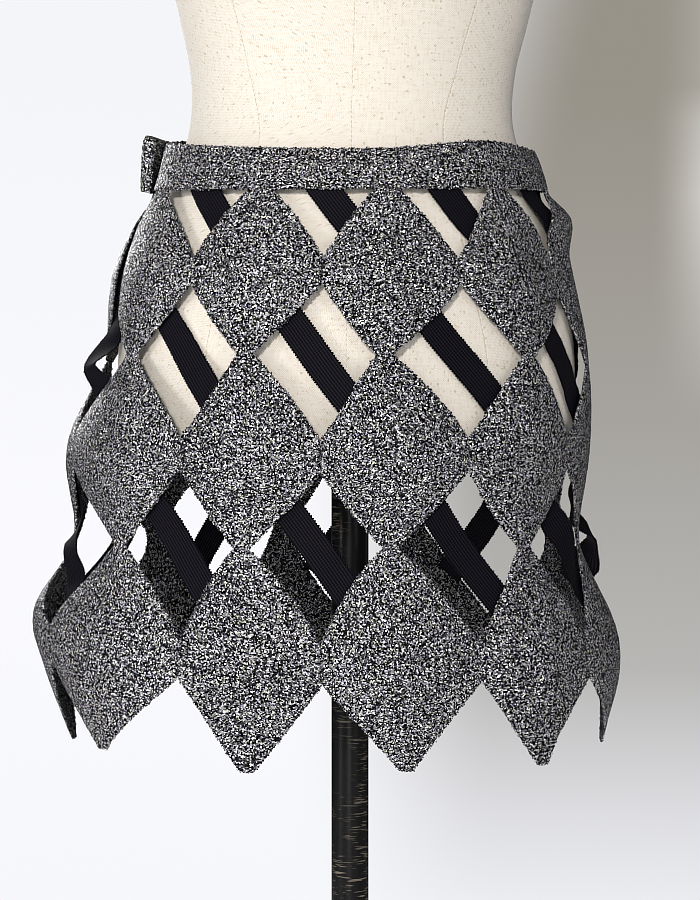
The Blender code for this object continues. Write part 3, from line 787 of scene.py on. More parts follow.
# Creases of the band: column, level, length and width in mm, depth in mm, rise of its right end in mm
bandCreases = (
    (3.00, -0.08, 56, 2.6, 1.6, 5),
    (2.45, -0.12, 30, 3.0, 1.2, 12),
    (0.25, -0.30, 40, 4.0, 0.4, -3),
    (3.4, -0.25, 50, 4.0, 0.6, 4),
    (5.2, -0.15, 60, 3.6, 0.6, -3),
    (7.3, -0.28, 46, 4.0, 0.6, 4),
)


def bandFall(columns, levels, perColumn, perLevel):
    fall = np.zeros(columns.shape)
    for column, level, long, wide, deep, tilt in bandCreases:
        along = (columns - column) * perColumn
        below = (levels - level) * perLevel + along * tilt / long
        fade = smoothStep(np.abs(along), 0.5 * long * mm, 0.2 * long * mm)
        fall += fade * creaseShape(below, wide, deep)
    return fall


def makeWaistband():
    look = bandLook
    top = ringTable[0, 0]
    tall = -top * length(skirtPlace(0.0, look["heightLevel"])[3])
    foot = -0.5 * skirt["seamGap"] / length(skirtPlace(0.0, 0.0)[3])
    reach = look["backEnd"] - look["frontEnd"]
    girth = reach * length(skirtPlace(np.linspace(*look["girthColumns"]), look["girthLevel"])[2]).mean()
    downShares = insetShares(tall, look["cell"], clothLook["edgeSteps"])
    acrossShares = insetShares(girth, look["cell"], clothLook["edgeSteps"])
    columns, levels = np.meshgrid(look["frontEnd"] + reach * acrossShares, top + (foot - top) * downShares)
    point, normal, stepAcross, _ = skirtPlace(columns, levels)
    toEdge = np.minimum(nearestEnd(downShares)[:, None] * tall, nearestEnd(acrossShares)[None, :] * girth)
    fall = bandFall(columns, levels, length(stepAcross), tall / -top)
    fall *= smoothStep(toEdge, 0.0, look["creasesGrowOver"])
    wall = 0.5 * skirt["bandWall"] * roundedEdge(toEdge, look["edgeRadius"])
    puff = look["puff"] * smoothStep(toEdge, 0.0, look["puffGrowsOver"] * tall)
    free = smoothStep(toEdge, 0.0, clothLook["grainBegins"])
    random = np.random.default_rng(look["seed"])
    grain = random.normal(0.0, look["grain"], columns.shape) * free
    outer = point + normal * (wall + puff + grain - fall)[..., None]
    outer[..., 2] += random.normal(0.0, look["roughEdge"], columns.shape) * (1.0 - free)
    along = travelled(point[columns.shape[0] // 2])
    piece, rim = makeCloth("knit_waistband", (outer, point - normal * wall[..., None]),
                           along[None, :], -downShares[:, None] * tall, lameMaterial)
    rims["waistband"].append(rim)
    register(piece, "lame_knit", "waistband")


foldLook = {
    "columns": (9.21, 9.40),   # from on the band's back end to past it
    "foot": 0.02,              # level of its lower edge
    "thick": 9.0 * mm,
    "lean": 4.5 * mm,          # thicker towards its top
    "lift": 5.0 * mm,          # its front edge stands off the band at the top
    "liftsFrom": -0.5,
    "peak": 7.5 * mm,          # its top stands above the band's
    "cellsDown": 44,
    "cellsAcross": 26,
    "roundSides": 0.78,
    "roundEnds": 0.70,
    "sideCloses": 0.93,        # and from here on it closes quickly
    "endCloses": 0.94,
    "closesBy": 0.9,
    "grain": 0.12 * mm,
    "seed": 5,
}


def foldRoundness(side, down):
    # how much of the fold's thickness is left towards its sides and ends
    look = foldLook
    left = 1.0 - look["roundSides"] * side**2 - look["roundEnds"] * 0.5 * down**4
    for place, closes in ((side, look["sideCloses"]), (down, look["endCloses"])):
        left *= 1.0 - smoothStep(np.abs(place), closes, 1.0) * look["closesBy"]
    left = np.sqrt(np.maximum(left, 0.0))
    left[[0, -1], :] = 0.0
    left[:, [0, -1]] = 0.0
    return left


def makeBandFold():
    # the band's back end, turned over outwards into a thick soft roll
    look = foldLook
    top = ringTable[0, 0]
    side, down = np.meshgrid(*(-np.cos(np.linspace(0.0, math.pi, look[cells] + 1))
                               for cells in ("cellsAcross", "cellsDown")))
    first, last = look["columns"]
    columns = first + (last - first) * 0.5 * (side + 1.0)
    levels = top + (look["foot"] - top) * 0.5 * (down + 1.0)
    point, normal, across, stepDown = skirtPlace(columns, levels)
    under = 0.5 * skirt["bandWall"] + skirt["seamGap"]
    lift = look["lift"] * 0.5 * (1.0 - down) * smoothStep(side, look["liftsFrom"], 1.0)
    inner = point + normal * (under + lift)[..., None]
    roundOff = foldRoundness(side, down)
    thick = (look["thick"] + look["lean"] * 0.5 * (1.0 - down)) * roundOff
    out = normal * np.array((1.0, 1.0, 0.0))
    out /= length(out)[..., None]
    outer = inner + out * thick[..., None]
    outer[..., 2] += look["peak"] * roundOff * np.maximum(-down, 0.0) ** 2
    grain = np.random.default_rng(look["seed"]).normal(0.0, look["grain"], columns.shape)
    outer += normal * (grain * (roundOff > 0))[..., None]
    wide, tall = length(across).mean() * (last - first), length(stepDown).mean() * (look["foot"] - top)
    # the roll is longer round its face than it is wide
    piece, rim = makeCloth("knit_waistband_fold", (outer, inner), 0.5 * side * (wide + 2.0 * thick.max()),
                           -0.5 * down * tall, loopMaterial)
    rims["waistband"].append(rim)
    register(piece, "lame_knit", "waistband_fold")


makeWaistband()
makeBandFold()
print("waistband made")


# Small beads along paths, by Geometry Nodes: knit loops at every cut edge, and stitches


def startTree(name, sockets):
    # begins with even dots on the paths it is given
    tree = bpy.data.node_groups.new(name, "GeometryNodeTree")
    face = tree.interface
    face.new_socket("Geometry", in_out="INPUT", socket_type="NodeSocketGeometry")
    for label, kind in sockets.items():
        face.new_socket(label, in_out="INPUT", socket_type=f"NodeSocket{kind}")
    face.new_socket("Geometry", in_out="OUTPUT", socket_type="NodeSocketGeometry")
    given = addNode(tree, "NodeGroupInput").outputs
    path = addNode(tree, "GeometryNodeMeshToCurve", {"Mesh": given["Geometry"]})
    dots = addNode(tree, "GeometryNodeResampleCurve", {
        "Curve": path.outputs["Curve"], "Length": given["Spacing"]}, mode="LENGTH")
    return tree, given, dots.outputs["Curve"]


def finishTree(tree, dots, radius, turn, size, material):
    # ends with a turned and stretched bead on each dot
    bead = addNode(tree, "GeometryNodeMeshIcoSphere", {"Radius": radius, "Subdivisions": 1})
    placed = addNode(tree, "GeometryNodeInstanceOnPoints", {
        "Points": dots, "Instance": bead.outputs["Mesh"], "Rotation": turn, "Scale": size})
    real = addNode(tree, "GeometryNodeRealizeInstances", {"Geometry": placed.outputs["Instances"]})
    painted = addNode(tree, "GeometryNodeSetMaterial", {
        "Geometry": real.outputs["Geometry"], "Material": material})
    addNode(tree, "NodeGroupOutput", {"Geometry": painted.outputs["Geometry"]})
    return tree


def randomVector(tree, low, high, seed):
    inputs = {0: (low,) * 3, 1: (high,) * 3, "Seed": seed}
    return addNode(tree, "FunctionNodeRandomValue", inputs, data_type="FLOAT_VECTOR").outputs["Value"]


beadLook = {
    "turn": 6.28,              # at most, nearly a whole turn
    "smallest": 0.65,
    "largest": 1.25,
}


def loopTree(name, material):
    # loops that lie, turn and grow unevenly
    tree, given, dots = startTree(name, {"Spacing": "Float", "Loop Size": "Float",
                                         "Unevenness": "Float", "Seed": "Int"})
    seed = given["Seed"]
    shift = vectorMath(tree, "SCALE", randomVector(tree, -1.0, 1.0, seed), Scale=given["Unevenness"])
    moved = addNode(tree, "GeometryNodeSetPosition", {"Geometry": dots, "Offset": shift}).outputs["Geometry"]
    turn = randomVector(tree, 0.0, beadLook["turn"], seed)
    size = vectorMath(tree, "SCALE", randomVector(tree, beadLook["smallest"], beadLook["largest"], seed),
                      Scale=given["Loop Size"])
    return finishTree(tree, moved, 1.0, turn, size, material)


def stitchTree(name, material):
    # stitches that lie along their path
    tree, given, dots = startTree(name, {"Spacing": "Float", "Stitch Length": "Float", "Thread": "Float"})
    tangent = addNode(tree, "GeometryNodeInputTangent").outputs["Tangent"]
    turn = addNode(tree, "FunctionNodeAlignEulerToVector", {"Vector": tangent}, axis="Z").outputs["Rotation"]
    size = addNode(tree, "ShaderNodeCombineXYZ", {
        "X": given["Thread"], "Y": given["Thread"], "Z": given["Stitch Length"]}).outputs["Vector"]
    return finishTree(tree, dots, 0.5, turn, size, material)


def alongPaths(name, paths, tree, settings, slotName, closed=False):
    # runs a tree on paths of points and turns what it makes into a plain mesh
    points, edges = [], []
    for path in paths:
        first = len(points)
        points += [tuple(point) for point in path]
        edges += [(k, k + 1) for k in range(first, len(points) - 1)]
        if closed:
            edges.append((len(points) - 1, first))
    mesh = bpy.data.meshes.new(name + "_path")
    mesh.from_pydata(points, edges, [])
    guide = addObject(name + "_path", mesh)
    modifier = guide.modifiers.new("loops", "NODES")
    modifier.node_group = tree
    for item in tree.interface.items_tree:
        if item.in_out == "INPUT" and item.name in settings:
            modifier[item.identifier] = settings[item.name]
    bpy.context.view_layer.update()
    evaluated = guide.evaluated_get(bpy.context.evaluated_depsgraph_get())
    made = bpy.data.meshes.new_from_object(evaluated)
    made.name = name
    bpy.data.objects.remove(guide, do_unlink=True)
    made.shade_smooth()
    register(addObject(name, made), slotName)


loopLook = {
    "Spacing": 1.7 * mm,
    "Loop Size": 0.85 * mm,
    "Unevenness": 0.45 * mm,
}
knitLoops = loopTree("knitLoops", loopMaterial)
for seed, (label, paths) in enumerate(rims.items(), 1):
    alongPaths(f"edge_loops_{label}", paths, knitLoops, {**loopLook, "Seed": seed}, "lame_knit", closed=True)
print("knit loops made")


# Elastic tapes, from behind the band down and to the right

tapeTable = (
    # letter, start, end, start moved, moved until, end moved, upper slack, lower slack
    ("Z", 0.42, 4.62, 0.25, 1.0, 0.00, 0, 2),
    ("A", -0.22, 4.62, 0.00, 1.0, 0.00, 0, 0),
    ("B", -0.22, 4.52, 0.00, 1.0, 0.01, 0, 0),
    ("C", -0.22, 4.46, 0.00, 1.0, 0.00, 2, 0),
    ("D", -0.22, 4.46, 0.00, 1.0, 0.05, 2, 4),
    ("E", -0.22, 4.46, 0.00, 1.0, 0.00, 3, 2),
    ("U", -0.22, 4.46, 0.00, 1.0, 0.00, 2, 3),
    ("V", -0.22, 4.62, 0.00, 1.0, -0.22, 2, 0),
    ("W", -0.22, 4.80, 0.00, 1.0, -0.15, 3, 0),
    ("X", -0.22, 4.62, 0.86, 2.4, 0.00, 0, 0),
)
# The loosest tapes hang out of their gaps in loops: letter, edge (-1 left, 1 right), the levels
# between which it leaves the slope and those between which it comes back, and how far out in mm
tapeLoops = (
    ("X", -1, 1.42, 2.10, 2.16, 2.44, 17.5),
    ("X", 1, 1.78, 2.26, 2.18, 2.34, 17.0),
    ("B", -1, 3.74, 3.96, 4.12, 4.44, 6.0),
    ("B", 1, 3.53, 3.86, 3.96, 4.38, 11.0),
    ("C", -1, 3.75, 4.02, 4.33, 4.50, 20.0),
    ("C", 1, 3.52, 3.98, 4.13, 4.30, 19.0),
    ("W", -1, 3.74, 4.00, 4.05, 4.38, 11.0),
    ("W", 1, 3.68, 4.08, 4.16, 4.36, 10.0),
)
tapeShape = {
    "slope": 0.5,              # columns for each level
    "sink": 1.4 * mm,
    "sinksOver": 0.5,
    "easing": 1.3,
    "endLevels": (3.0, 4.2),
    "gapLevels": (2.0, 4.0),
    "sag": 0.05,
    "slackBegins": 0.42,
    "slackFull": 0.88,
    "station": 0.055,          # levels between stations
    "edgeStep": 0.2 * mm,
    "edgeRadius": 0.45 * mm,
    "perRib": 4,
    "ribHeight": 0.16 * mm,
    "ribMiddle": 0.6,
    "ribsFull": 0.6 * mm,      # from the edge
}


def tapeColumn(start, level, startMoved, movedUntil, endMoved):
    leftToGo = np.maximum(1.0 - level / movedUntil, 0.0)
    moved = startMoved * leftToGo ** tapeShape["easing"]
    moved += endMoved * smoothStep(level, *tapeShape["endLevels"])
    return start + tapeShape["slope"] * level + moved


def tapeSlack(columns, levels, amounts):
    out = np.zeros_like(columns)
    for centre, amount in zip(tapeShape["gapLevels"], amounts):
        aside = np.abs(columns % 1.0 - 0.5) / 0.5
        inside = 1.0 - aside - np.abs(levels - centre - tapeShape["sag"])
        out += amount * mm * smoothStep(inside, tapeShape["slackBegins"], tapeShape["slackFull"])
    return out


def tapeLoop(letter, levels, shares):
    out = np.zeros((levels.size, shares.size))
    for owner, edge, begins, full, back, ends, far in tapeLoops:
        if owner == letter:
            stands = smoothStep(levels, begins, full) * (1.0 - smoothStep(levels, back, ends))
            out += 0.5 * (1.0 + edge * shares)[None, :] * far * mm * stands[:, None]
    return out


def tapeGrid(columns, levels, ahead, shares):
    # Columns and levels of every point across the tape, and how long a level is there. Ahead
    # is the tape's column a small step further down.
    _, normal, across, down = skirtPlace(columns, levels)
    slope = (ahead - columns) / skirt["smallStep"]
    along = across * slope[:, None] + down
    along /= length(along)[:, None]
    sideways = np.cross(normal, along)
    sideways *= 0.5 * skirt["tapeWidth"] / length(sideways)[:, None]
    # half the tape's width as steps in columns and levels
    acrossSquare, both, downSquare = dot(across, across), dot(across, down), dot(down, down)
    sideAcross, sideDown = dot(sideways, across), dot(sideways, down)
    scale = acrossSquare * downSquare - both * both
    columnStep = (sideAcross * downSquare - sideDown * both) / scale
    levelStep = (sideDown * acrossSquare - sideAcross * both) / scale
    columnGrid = columns[:, None] + shares * columnStep[:, None]
    levelGrid = levels[:, None] + shares * levelStep[:, None]
    return columnGrid, levelGrid, length(down)


def tapeRibs(places, toEdge):
    inner = skirt["tapeWidth"] - 2.0 * tapeLook["selvedge"]
    ribWave = 0.5 - 0.5 * np.cos(fullTurn * tapeLook["ribs"] * (places - tapeLook["selvedge"]) / inner)
    shape = tapeShape
    fade = smoothStep(toEdge, shape["edgeStep"], shape["ribsFull"])
    return shape["ribHeight"] * (np.sqrt(ribWave) - shape["ribMiddle"]) * fade


def makeTape(column, letter, start, end, startMoved, movedUntil, endMoved, upperSlack, lowerSlack):
    # gives the middles of both its edges
    shape = tapeShape
    width, border = skirt["tapeWidth"], tapeLook["selvedge"]
    way = (startMoved, movedUntil, endMoved)
    levels = np.linspace(start, end, int(round((end - start) / shape["station"])) + 1)
    here, ahead = (tapeColumn(column + 0.5, at, *way) for at in (levels, levels + skirt["smallStep"]))
    inner = np.linspace(border, width - border, tapeLook["ribs"] * shape["perRib"] + 1)
    places = np.concatenate(((0.0, shape["edgeStep"]), inner, (width - shape["edgeStep"], width)))
    shares = 2.0 * places / width - 1.0
    columnGrid, levelGrid, perLevel = tapeGrid(here, levels, ahead, shares)
    sink = 0.5 * skirt["bandWall"] + skirt["seamGap"] + 0.5 * skirt["tapeWall"]
    sink += shape["sink"] * smoothStep(levelGrid, start, start + shape["sinksOver"])
    out = tapeSlack(columnGrid, levelGrid, (upperSlack, lowerSlack)) + tapeLoop(letter, levels, shares) - sink
    point, outward, _, _ = skirtPlace(columnGrid, levelGrid)
    toEdge = np.minimum(places, width - places)
    toEnd = np.minimum(levels - start, end - levels) * perLevel
    wall = roundedEdge(np.minimum(toEdge[None, :], toEnd[:, None]), shape["edgeRadius"])
    thick = 0.5 * skirt["tapeWall"] + tapeRibs(places, toEdge)
    sheets = [point + outward * (out + face * thick * wall)[..., None] for face in (1, -1)]
    along = travelled(sheets[0][:, places.size // 2])
    # the grid's columns run to the tape's other side, so it is turned to face outwards
    piece, _ = makeCloth(f"elastic_{letter}", [sheet[:, ::-1] for sheet in sheets],
                         places[None, ::-1], -along[:, None], tapeMaterial)
    register(piece, "black_elastic_tape", f"tape_{letter}")
    return [(sheets[0] + sheets[1])[:, edge] * 0.5 for edge in (0, -1)]


tapeEdges = []
for number, row in enumerate(tapeTable):
    tapeEdges += makeTape(number - 1, *row)
selvedgeLook = {
    "Spacing": 2.0 * mm,
    "Loop Size": 0.80 * mm,
    "Unevenness": 0.12 * mm,
    "Seed": 9,
}
selvedges = loopTree("selvedges", tapeMaterial)
alongPaths("tape_selvedges", tapeEdges, selvedges, selvedgeLook, "black_elastic_tape")
print("tapes made")


# Dress form

formTable = np.array((
    # height, half width, half depth, shift x, shift y, fullness
    (0.7830, 0.1470, 0.1090, 0.000, 0.001, 2.1),
    (0.7850, 0.1525, 0.1150, 0.000, 0.001, 2.1),
    (0.7920, 0.1570, 0.1190, 0.000, 0.001, 2.1),
    (0.8150, 0.1590, 0.1210, -0.0015, 0.001, 2.1),
    (0.8450, 0.1595, 0.1226, -0.0025, 0.001, 2.1),
    (0.8750, 0.1572, 0.1212, -0.0025, 0.000, 2.1),
    (0.9100, 0.1490, 0.1165, -0.0025, -0.001, 2.1),
    (0.9450, 0.1362, 0.1072, -0.0005, -0.002, 2.1),
    (0.9800, 0.1225, 0.0965, 0.001, -0.002, 2.1),
    (1.0150, 0.1125, 0.0870, 0.001, -0.001, 2.1),
    (1.0500, 0.1130, 0.0880, 0.002, 0.000, 2.1),
    (1.0850, 0.1205, 0.0940, 0.003, 0.000, 2.1),
    (1.1250, 0.1300, 0.1030, 0.003, -0.003, 2.2),
    (1.1700, 0.1385, 0.1130, 0.002, -0.008, 2.2),
    (1.2150, 0.1450, 0.1160, 0.001, -0.008, 2.2),
    (1.2600, 0.1540, 0.1080, 0.000, -0.002, 2.3),
    (1.3050, 0.1670, 0.0960, 0.000, 0.006, 2.3),
    (1.3400, 0.1740, 0.0850, 0.000, 0.012, 2.3),
    (1.3650, 0.1640, 0.0745, 0.000, 0.016, 2.3),
    (1.3820, 0.1300, 0.0670, 0.000, 0.018, 2.2),
    (1.3940, 0.0950, 0.0620, 0.000, 0.018, 2.1),
    (1.4080, 0.0680, 0.0580, 0.000, 0.017, 2.0),
    (1.4300, 0.0580, 0.0550, 0.000, 0.014, 2.0),
    (1.4600, 0.0560, 0.0540, 0.000, 0.010, 2.0),
    (1.4660, 0.0530, 0.0510, 0.000, 0.010, 2.0),
))
# Where the princess seams run: height, and how far round from the centre, as an angle
princessTable = np.array((
    (0.780, 0.62, 2.45), (0.845, 0.61, 2.45), (0.900, 0.56, 2.47), (0.950, 0.54, 2.50),
    (1.000, 0.54, 2.55), (1.050, 0.66, 2.55), (1.120, 0.74, 2.50), (1.200, 0.72, 2.45),
    (1.300, 0.52, 2.52), (1.370, 0.40, 2.60), (1.410, 0.55, 2.50), (1.470, 0.55, 2.50),
))
formLook = {
    "rowStep": 4.5 * mm,
    "closeRows": (0.7833, 0.7838, 0.7850, 0.7870, 0.7890, 0.7920, 1.4600, 1.4640, 1.4655),
    "between": 11,             # columns between two seams
    "seamHalf": 0.4 * mm,
    "seamSupport": 3.0,        # flat cloth begins this many half widths from the seam
    "seamDepth": 0.4 * mm,
    "seamShares": (0.3, 0.8, 1.0, 1.0, 1.0, 1.0, 1.0, 0.5),   # of the depth, from the centre front on
    "panelTurn": (0.0, 0.72, 0.10, 0.0, 0.0, -0.10, -0.72, 0.0),   # the side fronts are cut on the slant
    "seamFoot": (4.0 * mm, 10.0 * mm),   # the seams fade in here and out before the neck
    "seamNeck": 6.0 * mm,
    "capRings": 5,
    "stitched": (0.792, 1.455),
}


def formPoint(angles, heights):
    wide, deep, shiftX, shiftY, fullness = readTable(formTable, heights)
    power = 2.0 / fullness
    sin, cos = np.sin(angles), np.cos(angles)
    return np.stack((
        shiftX + wide * np.sign(sin) * np.abs(sin) ** power,
        shiftY - deep * np.sign(cos) * np.abs(cos) ** power,
        heights,
    ), axis=-1)


def seamAngles(heights):
    # the cover's eight seams: centre front, then to the right round to the left front one
    front, back = readTable(princessTable, heights)
    side = np.full_like(heights, 0.5 * math.pi)
    return [0.0 * heights, front, side, back, 0.0 * heights + math.pi,
            fullTurn - back, fullTurn - side, fullTurn - front]


def coverColumns(heights):
    # angles of the cover's columns at each height, with each one's dip and panel
    look = formLook
    seams = seamAngles(heights)
    seams.append(seams[0] + fullTurn)
    wide, deep = readTable(formTable, heights)[:2]
    near = look["seamHalf"] / (0.5 * (wide + deep))
    angles, dips, panels = [], [], []
    for panel, (here, after) in enumerate(zip(seams, seams[1:])):
        start, stop = here + look["seamSupport"] * near, after - look["seamSupport"] * near
        steps = [start + (stop - start) * k / (look["between"] + 1) for k in range(1, look["between"] + 1)]
        steps = [here, here + near, start, *steps, stop, after - near]
        angles += steps
        dips += [look["seamShares"][panel]] + [0.0] * (len(steps) - 1)
        panels += [panel] * len(steps)
    return np.stack(angles, axis=1), np.array(dips), panels


def coverPoints(angles, heights, dips):
    # the form's cover, with its seams sunk in
    look = formLook
    low, high = heights[0], heights[-1]
    tall = np.repeat(heights[:, None], angles.shape[1], axis=1)
    points = formPoint(angles.ravel(), tall.ravel()).reshape(*angles.shape, 3)
    inward = points.mean(axis=1, keepdims=True) - points
    inward[..., 2] = 0.0
    inward /= length(inward)[..., None]
    begins, full = look["seamFoot"]
    edge = smoothStep(tall, low + begins, low + full) * smoothStep(tall, high, high - look["seamNeck"])
    return points + inward * (dips * edge * look["seamDepth"])[..., None]


def coverPlaces(points, heights, panels):
    # flat places of each face's four corners, every panel turned as it is cut
    steps = length(np.diff(points, axis=1, append=points[:, :1]))
    along = np.concatenate((np.zeros((heights.size, 1)), np.cumsum(steps, axis=1)), axis=1)
    turn = np.array(formLook["panelTurn"])[panels]
    tall = heights[:, None]
    left, right = (
        np.stack((u * np.cos(turn) - tall * np.sin(turn), u * np.sin(turn) + tall * np.cos(turn)), axis=-1)
        for u in (along[:, :-1], along[:, 1:])
    )
    return np.stack((left[:-1], right[:-1], right[1:], left[1:]), axis=2).reshape(-1, 2)


def closeEnd(points, faces, ring, up):
    # closes the form with rings that shrink to a small middle
    edge = np.array([points[k] for k in ring])
    middle = edge.mean(axis=0)
    rings = formLook["capRings"]
    for step in range(1, rings + 2):
        first = len(points)
        if step > rings:
            inner = [first] * len(ring)
            points.append(middle.tolist())
        else:
            inner = [first + k for k in range(len(ring))]
            points += (middle + (edge - middle) * (1.0 - step / (rings + 1))).tolist()
        faces += joinRings(ring, inner) if up else joinRings(inner, ring)
        ring = inner


def makeDressForm():
    look = formLook
    low, high = formTable[0, 0], formTable[-1, 0]
    rows = np.linspace(low, high, int((high - low) / look["rowStep"]))
    heights = np.unique(np.concatenate((rows, look["closeRows"])))
    angles, dips, panels = coverColumns(heights)
    grid = coverPoints(angles, heights, dips)
    rings = np.arange(angles.size).reshape(angles.shape).tolist()
    faces = [face for low, high in zip(rings, rings[1:]) for face in joinRings(low, high)]
    covered = len(faces)
    points = grid.reshape(-1, 3).tolist()
    closeEnd(points, faces, rings[0], False)
    closeEnd(points, faces, rings[-1], True)
    ends = [points[corner][:2] for face in faces[covered:] for corner in face]
    uv = np.concatenate((coverPlaces(grid, heights, panels), ends))
    mesh = bpy.data.meshes.new("linen_form")
    mesh.from_pydata(points, [], faces)
    mesh.uv_layers.new(name="cloth").data.foreach_set("uv", uv.astype(np.float32).ravel())
    register(smoothObject("linen_form", mesh, linenMaterial), "cream_linen", "dress_form")


makeDressForm()
stitchLook = {
    "Spacing": 3.4 * mm,
    "Stitch Length": 2.6 * mm,
    "Thread": 0.35 * mm,
}
seamHeights = np.linspace(*formLook["stitched"], 120)
seamPaths = [formPoint(angles, seamHeights) for angles in seamAngles(seamHeights)]
seamStitches = stitchTree("seamStitches", threadMaterial)
alongPaths("form_seam_stitches", seamPaths, seamStitches, stitchLook, "cream_linen")
print("dress form made")


# Stand

standLook = {
    "poleRadius": 13.0 * mm,
    "poleBevel": 0.6 * mm,
    "poleRings": 40,
    "hubTop": 60.0 * mm,
    "segments": 96,
    "sharpFrom": math.radians(50),
}
footProfile = (
    (0.0, 0.0), (0.1620, 0.0), (0.1665, 0.0006), (0.1690, 0.0022), (0.1700, 0.0045), (0.1698, 0.0072),
    (0.1684, 0.0096), (0.1655, 0.0112), (0.1300, 0.0131), (0.0950, 0.0150), (0.0640, 0.0168),
    (0.0450, 0.0188), (0.0340, 0.0215), (0.0270, 0.0255), (0.0230, 0.0310), (0.0208, 0.0390),
    (0.0201, 0.0480), (0.0200, 0.0575), (0.0195, 0.0592), (0.0182, 0.0600), (0.0, 0.0600),
)


def ringPoints(radius, height, count):
    angles = [fullTurn * k / count for k in range(count)]
    return [(radius * math.cos(angle), radius * math.sin(angle), height) for angle in angles]


def turnedPiece(name, profile, node):
    # a closed turned solid from its outline, from the axis underneath to the axis on top
    count = standLook["segments"]
    points, faces, rings = [], [], []
    for radius, height in profile:
        ring = ringPoints(radius, height, count if radius > 0.0 else 1)
        rings.append([len(points) + k % len(ring) for k in range(count)])
        points += ring
    for low, high in zip(rings, rings[1:]):
        faces += joinRings(low, high)
    piece = makeMesh(name, points, faces, np.array(points)[:, :2], enamelMaterial)
    piece.data.set_sharp_from_angle(angle=standLook["sharpFrom"])
    register(piece, "black_enamel", node)


def poleProfile():
    foot = standLook["hubTop"] + skirt["seamGap"]
    top = formTable[0, 0] - skirt["seamGap"]
    radius, inner = standLook["poleRadius"], standLook["poleRadius"] - standLook["poleBevel"]
    heights = np.linspace(foot + 1 * mm, top - 1 * mm, standLook["poleRings"])
    return [(0.0, foot), (inner, foot), *((radius, height) for height in heights), (inner, top), (0.0, top)]


turnedPiece("enamel_pole", poleProfile(), "pole")
turnedPiece("enamel_foot", footProfile, "foot")
print("stand made")


# Floor, light and camera

studio = {
    "floorRadius": 2.2,
    "floorSegments": 128,
    "floor": {"scale": 3.0, "tones": ((0.3, "#ECECEE"), (0.7, "#F2F2F4")), "roughness": 0.85},
    "heights": (-0.20, 0.12),      # of the look's direction, between which the wall's tones run
    "wall": ((0.0, "#F6F7FB"), (0.45, "#FAFAFE"), (1.0, "#F4F5F9")),
    "shade": ((0.0, "#EFF0F4"), (0.13, "#DDDDE1"), (0.30, "#B8B7B5"), (0.62, "#A5A29D"), (1.0, "#989389")),
    "shadeSlant": -0.25,
    "shadeBegins": (-0.025, 0.06),
    "shadeEnds": (0.85, 0.35),
    "behindBegins": (0.0, 0.5),
    "corner": "#E5E3DE",           # painted light: the wall is lighter again where its painted shade ends
    "cornerTall": ((0.60, "#000000"), (0.75, "#BCBCBC"), (0.87, "#FFFFFF"), (0.96, "#E1E1E1"),
                   (1.0, "#959595")),
    "cornerWide": (0.115, 0.150),
    "ambient": (-0.5, 0.8, 0.26, 0.24),    # light from the left and the right
    "ambientBehind": (0.0, 0.5, 1.0, 0.2),
}
softboxes = {
    # place, what it is aimed at, width, height, power and colour
    "keySoftbox": ((-0.75, -3.95, 2.1), (0.0, 0.0, 0.85), 0.45, 0.45, 106.0, "#FFFBF5"),
    "leftStrip": ((-2.6, -1.5, 1.1), (0.0, 0.0, 0.85), 0.4, 1.2, 24.0, "#FFFFFF"),
    "rightSoftbox": ((2.1, -3.0, 1.2), (0.0, 0.0, 0.85), 0.9, 0.9, 12.0, "#FFFFFF"),
    "frontCard": ((-0.18, -2.3, 0.72), (0.0, 0.0, 0.72), 0.35, 1.1, 4.0, "#FFFFFF"),
    "rimStrip": ((1.5, 1.1, 1.2), (0.10, 0.0, 0.85), 0.4, 1.6, 0.6, "#FFFFFF"),
    "backSoftbox": ((-1.2, 2.6, 1.9), (0.0, 0.0, 0.85), 1.6, 1.6, 44.0, "#FFFFFF"),
}
shot = {
    "place": (0.0, -1.8, 0.824),
    "sensor": 36.0,            # mm
    "focalInFrames": 2571 / 900,
    "lookDown": math.atan(50 / 2571),
    "filterWidth": 0.95,
    "screenGamma": 2.2,
    "sharpening": 0.06,
}


def makeFloor():
    ring = ringPoints(studio["floorRadius"], 0.0, studio["floorSegments"])
    mesh = bpy.data.meshes.new("studio_floor")
    mesh.from_pydata(ring, [], [list(range(len(ring)))])
    mesh.materials.append(mottledMaterial("studioFloor", **studio["floor"]))
    addObject("studio_floor", mesh)


def wallSeen(room, ways):
    # a white wall in shade to the right, seen behind the form
    level = remap(room, ways["Z"], *studio["heights"])
    above = calculate(room, "MAXIMUM", ways["Z"], 0.0)
    aside = calculate(room, "MULTIPLY_ADD", above, studio["shadeSlant"], ways["X"])
    mask = calculate(room, "MULTIPLY", remap(room, aside, *studio["shadeBegins"], smooth=True),
                     remap(room, ways["X"], *studio["shadeEnds"], smooth=True))
    mask = calculate(room, "MULTIPLY", mask, remap(room, ways["Y"], *studio["behindBegins"], smooth=True))
    seen = mixColours(room, mask, addRamp(room, level, studio["wall"]), addRamp(room, level, studio["shade"]))
    corner = calculate(room, "MULTIPLY", addRamp(room, level, studio["cornerTall"]),
                       remap(room, ways["X"], *studio["cornerWide"], smooth=True))
    return mixColours(room, calculate(room, "MULTIPLY", corner, mask), seen, colour(studio["corner"]))


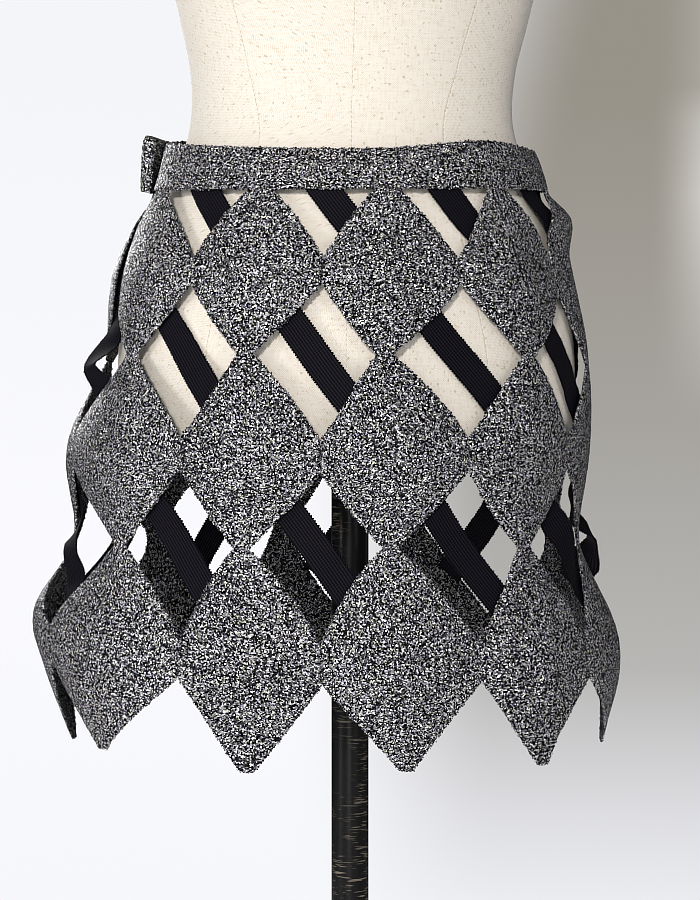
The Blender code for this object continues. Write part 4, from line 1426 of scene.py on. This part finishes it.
def makeRoom():
    # the camera sees the wall, and everything else is lit by even light
    world = bpy.data.worlds.new("studioRoom")
    bpy.context.scene.world = world
    world.use_nodes = True
    room = world.node_tree
    room.nodes.clear()
    ways = split(room, addNode(room, "ShaderNodeTexCoord").outputs["Generated"])
    ambient = calculate(room, "MULTIPLY", remap(room, ways["X"], *studio["ambient"], smooth=True),
                        remap(room, ways["Y"], *studio["ambientBehind"], smooth=True))
    soft = addNode(room, "ShaderNodeBackground", {"Color": colour("#FFFFFF"), "Strength": ambient})
    wall = addNode(room, "ShaderNodeBackground", {"Color": wallSeen(room, ways), "Strength": 1.0})
    rays = addNode(room, "ShaderNodeLightPath").outputs
    chosen = addNode(room, "ShaderNodeMixShader", {
        0: rays["Is Camera Ray"], 1: soft.outputs["Background"], 2: wall.outputs["Background"]})
    addNode(room, "ShaderNodeOutputWorld", {"Surface": chosen.outputs["Shader"]})


def addSoftbox(name, place, target, width, tall, power, tone):
    light = bpy.data.lights.new(name, "AREA")
    light.shape = "RECTANGLE"
    light.size, light.size_y = width, tall
    light.energy = power
    light.color = colour(tone)[:3]
    lamp = addObject(name, light)
    lamp.location = place
    lamp.rotation_euler = (Vector(target) - Vector(place)).to_track_quat("-Z", "Y").to_euler()


def addCamera():
    camera = bpy.data.cameras.new("studioCamera")
    camera.sensor_width = shot["sensor"]
    camera.sensor_fit = "AUTO"
    camera.lens = shot["focalInFrames"] * shot["sensor"]
    viewer = addObject("studioCamera", camera)
    viewer.location = shot["place"]
    viewer.rotation_euler = (math.radians(90) - shot["lookDown"], 0.0, 0.0)
    scene = bpy.context.scene
    scene.camera = viewer
    scene.view_settings.view_transform = "Standard"
    scene.cycles.filter_width = shot["filterWidth"]


def sharpenPicture():
    # a little sharpening of the tones seen, as a camera gives
    scene = bpy.context.scene
    scene.use_nodes = True
    after = scene.node_tree
    after.nodes.clear()
    picture = addNode(after, "CompositorNodeRLayers").outputs["Image"]
    for kind, value, settings in (
        ("Gamma", {"Gamma": 1.0 / shot["screenGamma"]}, {}),
        ("Filter", {"Fac": shot["sharpening"]}, {"filter_type": "SHARPEN"}),
        ("Gamma", {"Gamma": shot["screenGamma"]}, {}),
    ):
        step = addNode(after, f"CompositorNode{kind}", {"Image": picture, **value}, **settings)
        picture = step.outputs["Image"]
    addNode(after, "CompositorNodeComposite", {"Image": picture})


makeFloor()
makeRoom()
for name, settings in softboxes.items():
    addSoftbox(name, *settings)
addCamera()
sharpenPicture()
print("studio made")
